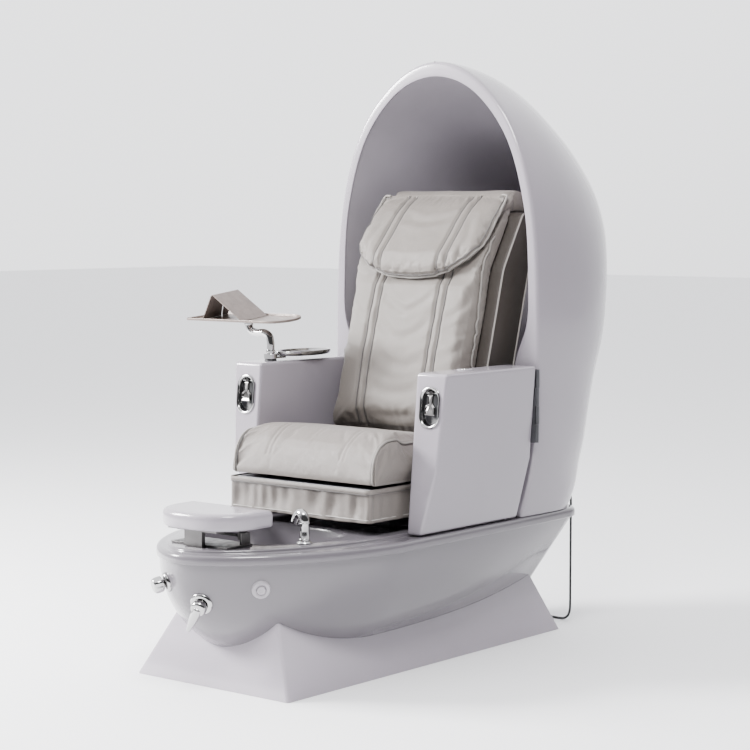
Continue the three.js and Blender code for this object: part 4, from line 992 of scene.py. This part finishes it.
# ---------- arm boxes ----------
ARM_LEAN = atan(0.1)
ARM_IN, ARM_TOP = 271, 775
LATCH = (321, -115.7, 688)
CALL_BUTTON, POST = mm(314, 42, ARM_TOP), mm(-315, -21, ARM_TOP)
MIRROR = Matrix.Scale(-1, 4, (1, 0, 0))


def arm_front(z):
    """The y of an arm box's leaning front face at a height."""
    return -107 - 0.1 * (ARM_TOP - z)


def arm_block(name, inset):
    """An arm box with a kinked outer side and a leaning front, drawn in by an inset."""
    bottom, kink, top = 358, 525, ARM_TOP - inset
    left, low = ARM_IN + inset, bottom - (5 if inset else 0)
    rings = []
    for front in (True, False):
        y = [arm_front(z) + inset if front else 288 - inset for z in (bottom, kink, top)]
        foot = -134 + inset if front else 288 - inset
        rings.append([mm(left, y[0], low), mm(309 - inset, foot, low), mm(353 - inset, y[1], kink),
                      mm(371 - inset, y[2], top), mm(left, y[2], top)])
    return loft(name, rings)


def stadium(grow):
    """The latch's oval outline about (0, 0), anticlockwise in [x, z]."""
    half, tall = 28 + grow, 49 + grow
    return round_box(-half, -tall, half, tall, half - 0.5, 17)


def latch_place(side):
    """From the latch's own frame, x across, -y out of the face, z up, to the arm's leaning face."""
    lean = Matrix.Translation(mm(*LATCH)) @ Matrix.Rotation(-ARM_LEAN, 4, "X")
    return (MIRROR if side < 0 else Matrix.Identity(4)) @ lean


def oval_loft(name, steps):
    """A form through the latch's oval at [grow, y] steps."""
    return loft(name, [[mm(x, y, z) for x, z in stadium(grow)] for grow, y in steps])


def make_arm(side):
    name = "left" if side > 0 else "right"
    shell = outward(applied(soften(arm_block(f"arm_moulding_{name}", 0), 0.0085, 6, 20)))
    recess = oval_loft("hole", [(1, -30), (1, 26)])
    recess.data.transform(latch_place(1))
    radius, at = (16, CALL_BUTTON) if side > 0 else (13, MIRROR @ POST)
    cut(shell, arm_block("inner", 7), recess, rod("hole", radius, -20, 20, at, UP, 40))
    if side < 0:
        shell.data.transform(MIRROR)
        shell.data.flip_normals()
    smooth(shell, 35)
    finish_piece(shell, f"gelcoat_white arm_{name} gelcoat_white arm_shell_{name}")

    def fit(obj, look):
        obj.data.transform(latch_place(side))
        finish_piece(outward(obj), look)

    # latch: a chrome bezel round a dished oval, with a dark floor and a bottle-shaped paddle
    fit(oval_loft(f"latch_dish_{name}", [
        (-20, 23.6), (-1, 23.6), (-0.4, 22), (-0.4, -0.4), (4.6, -0.4), (5.2, -1.0), (5.0, -2.2),
        (3.9, -3.1), (2.2, -3.5), (0.4, -3.2), (-1.2, -2.2), (-2.4, -0.4), (-3, 2), (-3.2, 8), (-3.6, 14),
        (-5, 17.5), (-8, 19.2),
        (-20, 19.6)]), f"chrome arm_{name} chrome latch_housing_{name}")
    fit(oval_loft(f"latch_floor_{name}", [
        (-9, 19.4), (-6.4, 18.6), (-5.4, 17.0), (-4.2, 13.6), (-4.6, 12.8), (-6.2, 15.4), (-9, 16.6)]),
        f"black_plastic arm_{name} black_plastic")
    half = [(16, -20), (16, 3), (8, 9), (8, 33)]
    bottle = rounded_corners([(-16, -20), *half, *[(-x, z) for x, z in half[:0:-1]]], 3.2)
    paddle = cushion_form(f"latch_tongue_{name}", closed_even(bottle, 120), [
        (1.6, -5), (0.5, -4.6), (0, -3.8), (0, -0.6), (0.5, 0.5), (1.4, 1.0), (3.0, 0.9), (4.6, 0.2)])
    paddle.data.transform(Matrix(((1, 0, 0, 0), (0, 0, -1, 0), (0, 1, 0, 0), (0, 0, 0, 1))))
    fit(paddle, f"smoked_chrome latch_{name} chrome latch_paddle_{name}")
    pin = rod(f"latch_pin_{name}", 2.2, -20, 20, mm(0, 8, 38), (1, 0, 0), 20)
    fit(pin, f"bright_steel arm_{name} chrome")
    lug = rounded_corners([(-5.6, 31), (5.6, 31), (5.6, 42.5), (-5.6, 42.5)], 2)
    fit(prism(f"latch_lug_{name}", lug, 1, 12), f"smoked_chrome latch_{name} chrome")


def make_call_button():
    fitting("call_button_ring", "pearl_plastic arm_left white_plastic arm_button_ring",
            CALL_BUTTON, UP, 64, 1, [
        [11.7, -9], [15.2, -9], [15.2, 0.3], [21, 0.3], [21, 1.4], [18.6, 3.2], [13.4, 3.4], [11.7, 2.4],
        [11.7, -9]])
    fitting("call_button_cap", "chrome arm_button chrome arm_button", CALL_BUTTON, UP, 56, 1, [
        [0, -7], [11, -7], [11, 3], [9.6, 4.8], [5, 4.6], [0, 4.2]])


TRAY = mm(-397, -21, 888.5)
TRAY_TURN = radians(7)


def make_tray():
    fitting("post_bush", "black_plastic arm_right black_plastic post_collar", POST, UP, 56, 0.8, [
        [11.4, -30], [12.6, -30], [12.6, 0.3], [17.4, 0.3], [17.4, 2.4], [15.4, 5], [12.6, 5.4], [11.4, 4.6],
        [11.4, -30]])
    route = [(0, -27), (0, 15), (0, 53), (-6, 70), (-22, 77), (-54, 77), (-74, 83), (-82, 99), (-82, 107)]
    tube = swept("post_tube", [POST + mm(x, 0, z) for x, z in route], [0.0108] * 2, 90, 32, round_ends=False)
    finish_piece(tube, "chrome tray_post chrome tray_post")
    for label, at in (("low", (0, 0, 22)), ("top", (-82, 0, 97))):
        fitting(f"post_band_{label}", "chrome tray_post chrome", POST + mm(*at), UP, 48, 0.9, [
            [9, 0], [12.6, 0], [12.9, 2], [12.9, 7], [12.6, 9], [9, 9], [9, 0]])

    # tray with a turned-up edge, a folded hand rest and its wire prop
    place = Matrix.Translation(TRAY) @ Matrix.Rotation(TRAY_TURN, 4, "X")
    outline = [(112 + 62 * cos(a), 2 + 62 * sin(a))
               for a in (-pi / 2 + pi * i / 24 for i in range(25))]
    outline += rounded_corners([(112, 64), (-150, 64), (-190, -60), (112, -60)], 9)[9:-9]
    tray = cushion_form("tray_sheet", closed_even(outline, 260), [
        (6, 0), (2, 0.1), (0.6, 0.6), (0, 1.6), (0, 6.2), (0.4, 7), (1.2, 7.1), (1.7, 6.5), (1.9, 3.4),
        (2.6, 2.0), (4.2, 1.6), (9, 1.5)])
    tray.data.transform(place)
    finish_piece(tray, "taupe_tray tray taupe_tray tray_plate")
    fitting("tray_hub", "chrome tray chrome", TRAY, UP, 48, 1, [
        [0, -6], [12, -6], [19, -5.4], [19, -3.6], [11, -1.4], [8.6, 0.4], [0, 0.4]])
    rest = prism("hand_rest_sheet", [
        (-134, 1.9), (-93.6, 68.8), (-91.4, 71.6), (-88.4, 73.4), (-84.6, 73.9), (-81.4, 72.6), (22, 2.6),
        (22, 1.9), (17, 1.9), (-82.6, 70.0), (-85.4, 71.4), (-88.2, 71.0), (-90.2, 69.2),
        (-131.4, 1.9)], -50, 54)
    rest.data.transform(place)
    soften(outward(rest), 0.0006, 2, 50)
    finish_piece(rest, "taupe_tray tray taupe_tray hand_rest")
    wire = [(-62, -44, 2.6), (-59, -45.4, 12), (-57, -46, 22), (-53, -46.6, 34), (-50, -47, 44)]
    prop = swept("hand_rest_wire", [place @ mm(*p) for p in wire], [0.0016] * 2, 30, 12)
    finish_piece(prop, "bright_steel tray bright_steel hand_rest_prop")


def make_side_dish():
    dish = turned("dish_bowl", arc_profile([
        [0, 11], [46, 11], [52, 13], [54.4, 18], [55, 23.4], [54.3, 25.4], [52.4, 26], [50.6, 25], [49.2, 22],
        [46.5, 17.6], [42, 15.6], [30, 15.2], [0, 15]], 2), (0, 0, 0), UP, 96)
    dish.data.transform(Matrix.Translation(mm(-306, 103, ARM_TOP)) @ Matrix.Diagonal((1, 104 / 55, 1, 1)))
    finish_piece(outward(dish), "chrome side_dish chrome side_dish")


# ---------- upholstery ----------
RECLINE = radians(15.4)
BACK = Matrix.Translation(mm(0, 205, 480)) @ Matrix.Rotation(-RECLINE, 4, "X")
BACK_FRONT = BACK.to_3x3() @ Vector((0, -1, 0))
CHANNELS = (-127, -100, 100, 127)
SEAT_PIPING, SEAT_GATHERS, BACK_PIPING = (-239, 239), (-134, -120, 120, 134), (-217, 217)
SEAT_HALF, SEAT_UNDERSIDE, BACK_HALF = 0.2645, 0.4835, 0.236       # how far the swollen covers may reach
COVER_VOXEL, FLAP_VOXEL = 0.0055, 0.0048


def in_back(obj):
    """A piece's points in the backrest's own frame."""
    return (coordinates(obj) - np.array(BACK.translation)) @ np.array(BACK.to_3x3())


def from_back(co):
    return co @ np.array(BACK.to_3x3()).T + np.array(BACK.translation)


def remeshed(name, node, voxel, inset):
    """A fine copy of a CAD solid, drawn in a little."""
    obj = linked(name, nodes[node].data.copy())
    applied(modifier(obj, "REMESH", mode="VOXEL", voxel_size=voxel, adaptivity=0))
    applied(modifier(obj, "SMOOTH", iterations=6, factor=0.5))
    return push(obj, -inset)


CLOTH_FRAMES = 20


def inflate(obj, pinned, cap, pressure, slack=-0.02):
    """Swells a piece by cloth simulation, with pinned weights (0 free, 1 held) and a cap on each move."""
    start = coordinates(obj)
    group = obj.vertex_groups.new(name="held")
    for index in np.nonzero(pinned > 0)[0]:
        group.add([int(index)], float(pinned[index]), "REPLACE")
    cloth = obj.modifiers.new("cloth", "CLOTH")
    settings = cloth.settings
    settings.quality, settings.mass = 4, 0.25
    settings.tension_stiffness = settings.compression_stiffness = 18
    settings.shear_stiffness, settings.bending_stiffness = 8, 0.6
    settings.use_pressure, settings.uniform_pressure_force = True, pressure
    settings.shrink_min = slack
    settings.vertex_group_mass = "held"
    settings.effector_weights.gravity = 0
    cloth.point_cache.frame_start, cloth.point_cache.frame_end = 1, CLOTH_FRAMES
    scene = bpy.context.scene
    for number in range(1, CLOTH_FRAMES + 1):
        scene.frame_set(number)
    applied(obj)
    scene.frame_set(1)
    obj.vertex_groups.clear()
    move = coordinates(obj) - start
    size = np.linalg.norm(move, axis=1)
    limit = cap * np.tanh(size / cap) / np.maximum(size, 1e-9)
    set_coordinates(obj, start + move * limit[:, None])


def refine(obj):
    return applied(modifier(obj, "SUBSURF", levels=1, render_levels=1))


def tree_of(obj):
    return BVHTree.FromPolygons([tuple(p) for p in coordinates(obj)],
                                [tuple(p.vertices) for p in obj.data.polygons])


def nearest(co, line):
    """Distance from each point to the nearest point of a dense line, out to 50 mm."""
    line = np.array([tuple(p) for p in line])
    best = np.full(len(co), 9.0)
    for start in range(0, len(line), 40):
        part = line[start:start + 40]
        near = np.nonzero((np.abs(co - part.mean(0)) < np.ptp(part, axis=0) / 2 + 0.05).all(1))[0]
        if len(near):
            gap = np.linalg.norm(co[near][:, None] - part[None], axis=2).min(1)
            best[near] = np.minimum(best[near], gap)
    return best


def sew(obj, lines, width, depth):
    """Draws a surface in along seam lines."""
    co = coordinates(obj)
    gap = np.min([nearest(co, line) for line in lines], axis=0)
    push(obj, -depth * np.exp(-(gap / width) ** 2))


def channel_lines(tree, low, high, pitch, count):
    """The channels' seam lines on the front of a piece of the backrest, between two heights."""
    lines, reach = [], 0.5
    for x in CHANNELS:
        hits = [tree.ray_cast(BACK @ mm(x, 0, z) + BACK_FRONT * reach, -BACK_FRONT)[0]
                for z in range(low, high, pitch)]
        lines.append(even_run([hit for hit in hits if hit], count))
    return lines


def ring_section(tree, place, x, centre, count, start=0, end=360):
    """The surface's outline in the plane at local x, about a local [y, z] centre, between two angles."""
    hits = []
    for i in range(count):
        a = radians(start + (end - start) * i / (count if end - start == 360 else count - 1))
        way = place.to_3x3() @ Vector((0, cos(a), sin(a)))
        hit = tree.ray_cast(place @ mm(x, *centre) + way * 0.9, -way)[0]
        if hit:
            hits.append(hit)
    return hits


def even_loop(points, count):
    ring = even([tuple(p) for p in [*points, points[0]]], count + 1)[:-1]
    for _ in range(3):
        ring = (np.roll(ring, 1, 0) + ring * 2 + np.roll(ring, -1, 0)) / 4
    return [Vector(p) for p in ring]


def even_run(points, count):
    run = even([tuple(p) for p in points], count)
    for _ in range(3):
        run[1:-1] = (run[:-2] + run[1:-1] * 2 + run[2:]) / 4
    return [Vector(p) for p in run]


def piping(name, line, radius, material, body, closed=False, lift=0.0):
    """A cord along a line, lifted away from the line's middle."""
    if lift:
        middle = sum(line, Vector()) / len(line)
        line = [p + (p - middle).normalized() * lift for p in line]
    piece = swept(name, line, [radius, radius], len(line), 10, not closed, closed)
    return finish_piece(piece, f"{material} {body} leather_light")


def creases(obj, strokes):
    """Soft folds; each stroke is [[x, y, z] ...] in the back's millimetres, width and depth."""
    co = coordinates(obj)
    move = np.zeros(len(co))
    for points, width, depth in strokes:
        line = curve_through([BACK @ mm(*p) for p in points], 60)
        gap = nearest(co, line)
        ends = np.minimum(*(np.linalg.norm(co - np.array(line[k]), axis=1) for k in (0, -1)))
        taper = np.clip(ends / 0.03, 0.15, 1)
        beside = 0.45 * np.exp(-((gap - 2.1 * width) / width) ** 2)      # a swelling on both sides
        move -= depth * taper * (np.exp(-(gap / width) ** 2) - beside)
    push(obj, move)


def on_both_sides(strokes):
    return [([(side * x, y, z) for x, y, z in points], *rest)
            for points, *rest in strokes for side in (1, -1)]


def ripple(obj, amount, scale, seed=0.0):
    """Slow unevenness of stuffed leather."""
    at = Vector((seed, seed, seed))
    push(obj, [noise.fractal(Vector(p) * scale + at, 0.9, 2.1, 3) * amount for p in coordinates(obj)])


def make_seat_cushion():
    obj = remeshed("seat_cushion_cover", "seat_cushion", COVER_VOXEL, 0.007)
    held = np.clip((0.512 - coordinates(obj)[:, 2]) / 0.015, 0, 1)
    inflate(obj, held, 0.016, 7, -0.005)
    co = coordinates(obj)
    co[:, 0] = np.clip(co[:, 0], -SEAT_HALF, SEAT_HALF)
    co[:, 2] = np.maximum(co[:, 2], SEAT_UNDERSIDE)
    set_coordinates(obj, co)
    refine(obj)
    ripple(obj, 0.0016, 9)
    identity = Matrix.Identity(4)
    tree = tree_of(obj)
    loops = [even_loop(ring_section(tree, identity, x, (-60, 548), 160), 260) for x in SEAT_PIPING]
    sew(obj, loops, 0.006, 0.004)
    # short gathers on the front edge, where the channels' stitching ends
    for x in SEAT_GATHERS:
        sew(obj, [even_run(ring_section(tree, identity, x, (-110, 540), 60, 118, 176), 90)], 0.0048, 0.0022)
    finish_piece(smooth(obj, 180), "leather_seat seat leather_light seat_cushion")
    for side, loop, inwards in zip(("right", "left"), loops, (0.0052, -0.0052)):
        piping(f"seat_piping_{side}", loop, 0.0031, "piping_light", "seat", closed=True, lift=0.0004)
        inner = [p + Vector((inwards, 0, 0)) for p in loop]
        piping(f"seat_piping_shadow_{side}", inner, 0.0019, "piping_dark", "seat", closed=True, lift=-0.0012)


def make_back_pad():
    obj = remeshed("back_pad_cover", "back_pad", COVER_VOXEL, 0.006)
    here = in_back(obj)
    rear = np.clip((here[:, 1] + 0.075) / 0.02, 0, 1) * (here[:, 2] < 0.70)
    inflate(obj, rear, 0.016, 4.5)
    here = in_back(obj)
    behind_flap = np.clip((here[:, 2] - 0.49) / 0.03, 0, 1) * np.clip((0.775 - here[:, 2]) / 0.02, 0, 1)
    limit = np.interp(here[:, 2] * 1000, [84, 110, 300, 545, 630, 705, 768],
                      [-101, -117, -124, -121, -90, -54, -31]) / 1000
    y = here[:, 1]
    here[:, 1] = np.where(y < -0.03, y * (1 - behind_flap) + np.maximum(y, limit) * behind_flap, y)
    here[:, 0] = np.clip(here[:, 0], -BACK_HALF, BACK_HALF)
    set_coordinates(obj, from_back(here))
    refine(obj)
    ripple(obj, 0.0018, 8, 3.0)
    creases(obj, [
        ([(-95, -128, 470), (-40, -128, 430), (0, -128, 415), (40, -128, 430), (95, -128, 470)], 0.01, 0.0035),
        ([(-96, -128, 395), (-45, -128, 352), (0, -128, 338), (50, -128, 356), (96, -128, 400)], 0.012, 0.003),
        ([(-90, -127, 300), (-30, -127, 272), (30, -127, 262), (88, -127, 286)], 0.013, 0.0025),
        ([(-90, -125, 200), (-20, -125, 186), (50, -125, 190), (92, -125, 208)], 0.013, 0.0022),
        ([(-60, -122, 130), (-20, -121, 118), (40, -121, 122), (84, -122, 136)], 0.01, 0.0026),
        *on_both_sides([
            ([(215, -125, 470), (180, -126, 420), (140, -127, 395)], 0.010, 0.003),
            ([(216, -124, 330), (178, -126, 300), (140, -126, 285)], 0.010, 0.0026),
        ]),
    ])
    sew(obj, channel_lines(tree_of(obj), 96, 760, 6, 260), 0.0062, 0.0058)
    tree = tree_of(obj)
    sides = [even_run(ring_section(tree, BACK, x, (-62, 330), 200, 92, 262), 260) for x in BACK_PIPING]
    sew(obj, sides, 0.0055, 0.003)
    finish_piece(smooth(obj, 180), "leather_light backrest leather_light back_pad")
    for label, line in zip("abcd", channel_lines(tree_of(obj), 96, 760, 6, 240)):
        line = [p + BACK_FRONT * 0.0012 for p in line]
        piping(f"back_channel_{label}", line, 0.0021, "piping_dark", "backrest")
    for side, line in zip(("right", "left"), sides):
        piping(f"back_piping_{side}", line, 0.0030, "piping_light", "backrest")


def back_line(here):
    """The back pad's front surface behind the headrest, at the heights of some points."""
    return np.interp(here[:, 2] * 1000, [500, 546, 631, 706, 770, 780],
                     [-129, -125.6, -94.5, -58.5, -35.5, -33]) / 1000


def flap_rim(obj):
    """A line along the headrest's two sides and lower edge, through its outermost points."""
    here = in_back(obj)
    middle = 0.655
    flat = here[:, [0, 2]] - [0, middle]
    angle, reach = np.arctan2(flat[:, 1], flat[:, 0]), np.linalg.norm(flat, axis=1)
    bins = 180
    order = np.floor((angle + pi) / (2 * pi) * bins).astype(int) % bins
    rim = []
    for members in (np.nonzero(order == i)[0] for i in range(bins)):
        if len(members):
            rim.append(here[members[np.argsort(reach[members])[-6:]]].mean(0))
    rim = [p for p in rim if p[2] < 0.745 or abs(p[0]) > 0.19]
    rim = sorted(rim, key=lambda p: atan2(p[0], -(p[2] - middle)))
    return even_run([Vector(p) for p in from_back(np.array(rim))], 300)


def make_headrest():
    obj = remeshed("headrest_cover", "headrest_flap", FLAP_VOXEL, 0.005)
    here = in_back(obj)
    inflate(obj, np.clip((here[:, 1] - back_line(here) + 0.014) / 0.010, 0, 1), 0.014, 5)
    here = in_back(obj)
    here[:, 1] = np.minimum(here[:, 1], back_line(here) - 0.0008)
    set_coordinates(obj, from_back(here))
    refine(obj)
    ripple(obj, 0.0014, 10, 7.0)
    creases(obj, [
        *on_both_sides([([(150, -100, 690), (165, -120, 640), (172, -150, 585)], 0.010, 0.0022)]),
        ([(-80, -100, 690), (0, -104, 672), (80, -100, 692)], 0.012, 0.0022),
        ([(-70, -165, 560), (0, -168, 545), (76, -165, 562)], 0.010, 0.002),
    ])
    sew(obj, channel_lines(tree_of(obj), 508, 776, 4, 160), 0.0058, 0.005)
    rim = flap_rim(obj)
    sew(obj, [rim], 0.005, 0.002)
    finish_piece(smooth(obj, 180), "leather_light headrest leather_light headrest_flap")
    tree, middle = tree_of(obj), BACK @ mm(0, -110, 640)
    for label, line in zip("abcd", channel_lines(tree, 512, 772, 4, 140)):
        piping(f"headrest_channel_{label}", line, 0.002, "piping_dark", "headrest")
    piping("headrest_piping", [p + BACK_FRONT * 0.002 for p in rim], 0.0033, "piping_light", "headrest")
    inner = [tree.find_nearest(p + BACK_FRONT * 0.012 + (middle - p).normalized() * 0.005) for p in rim]
    inner = even_run([found[0] + found[1] * 0.0004 for found in inner], 300)
    piping("headrest_piping_shadow", inner, 0.002, "piping_dark", "headrest")


def make_back_shell():
    side = closed_even(rounded_corners([(65, 60), (65, 735), (-5, 735), (-55, 560), (-55, 60)], 16), 220)
    shell = applied(soften(side_prism("back_shell_cover", side, 250), 0.010, 5, 50))
    inner = side_prism("inner", [(55, 72), (55, 722), (0, 722), (-47, 556), (-47, 72)], 236)
    opening = side_prism("opening", [(-20, 705), (-70, 530), (-80, 530), (-80, 72), (30, 72), (30, 705)], 190)
    lugs = [block("lug", (x, -30, 45), (x + 14, 50, 80)) for x in (-236, 222)]
    cut(shell, inner, opening, *lugs)
    shell.data.transform(BACK)
    smooth(outward(shell), 40)
    finish_piece(shell, "leather_shell backrest leather_shell back_shell")
    for x, name in ((-249.2, "right"), (249.2, "left")):
        ring = [BACK @ mm(x, y * 0.965, 400 + (z - 400) * 0.99) for y, z in side]
        piping(f"shell_piping_{name}", ring, 0.0026, "leather_trim", "backrest", closed=True)


SKIRT_HALF, SKIRT_FRONT, SKIRT_CORNER = 243, -265, 14
SKIRT_ROWS, SKIRT_TOP, SKIRT_DROP = 26, 479.4, 82.6


def make_skirt():
    """A gathered cloth skirt round the front of the sliding frame."""
    corner = [radians(90 * i / 8) for i in range(9)]
    left = [(SKIRT_HALF, 86), *[(SKIRT_HALF, y) for y in range(70, -250, -16)],
            *[(SKIRT_HALF - SKIRT_CORNER + SKIRT_CORNER * cos(a),
               SKIRT_FRONT + SKIRT_CORNER - SKIRT_CORNER * sin(a)) for a in corner],
            *[(x, SKIRT_FRONT) for x in range(214, -1, -16)]]
    line = even(left + [(-x, y) for x, y in reversed(left)], 620)
    outwards = sideways(np.gradient(line, axis=0))
    along = lengths_along(line)

    def run(out, z, pitch=1):
        return [mm(x + nx * out, y + ny * out, z)
                for (x, y), (nx, ny) in zip(line[::pitch], outwards[::pitch])]

    points = []
    front = np.clip((-line[:, 1] - 225) / 40, 0, 1)
    for share in (r / (SKIRT_ROWS - 1) for r in range(SKIRT_ROWS)):
        z = SKIRT_TOP - SKIRT_DROP * share
        wave = (np.sin(along / 6.6 + 2.6 * np.sin(along / 57) + 0.6 * share) * 0.42
                + np.sin(along / 15.3 + 1.9 * np.sin(along / 71) - 1.1 * share) * 0.68)
        fullness = sin(pi * min(share * 1.12, 1)) * 0.75 + 0.35 * share
        hem = 0.9 if 0.84 < share < 0.88 else 0
        out = 0.4 + 1.2 * share - (3.0 + 7.0 * front) * fullness * (0.5 - 0.5 * wave) - hem
        for (x, y), (nx, ny), o in zip(line, outwards, out):
            points.append(mm(x + nx * o, y + ny * o, z + 1.4 * share * sin(x / 52 + y / 71)))
    cloth = outward(thicken(mesh_piece("skirt_cloth", points, grid_faces(SKIRT_ROWS, len(line)), 80), 0.0016))
    finish_piece(cloth, "leather_seat seat leather_light seat_skirt")
    tape = [p for z, out in [(471.5, 0.8), (472.2, 2.0), (482.4, 2.0), (483.0, 0.8)] for p in run(out, z)]
    tape = outward(thicken(mesh_piece("skirt_tape", tape, grid_faces(4, len(line)), 80), 0.0008))
    finish_piece(tape, "leather_seat seat leather_light")
    piping("skirt_tape_cord", run(1.9, 470.6, 2), 0.0013, "piping_dark", "seat")
    hem = piping("skirt_hem_seam", run(0.4, 406, 2), 0.0009, "thread", "seat")


make_camera()
make_studio()
dress_nodes()
make_cord()
make_tub()
make_plinth()
make_hood()
make_bow_controls()
make_spout()
make_basin_fittings()
make_footrest()
for arm_side in (1, -1):
    make_arm(arm_side)
make_call_button()
make_tray()
make_side_dish()
make_seat_cushion()
make_back_pad()
make_headrest()
make_back_shell()
make_skirt()
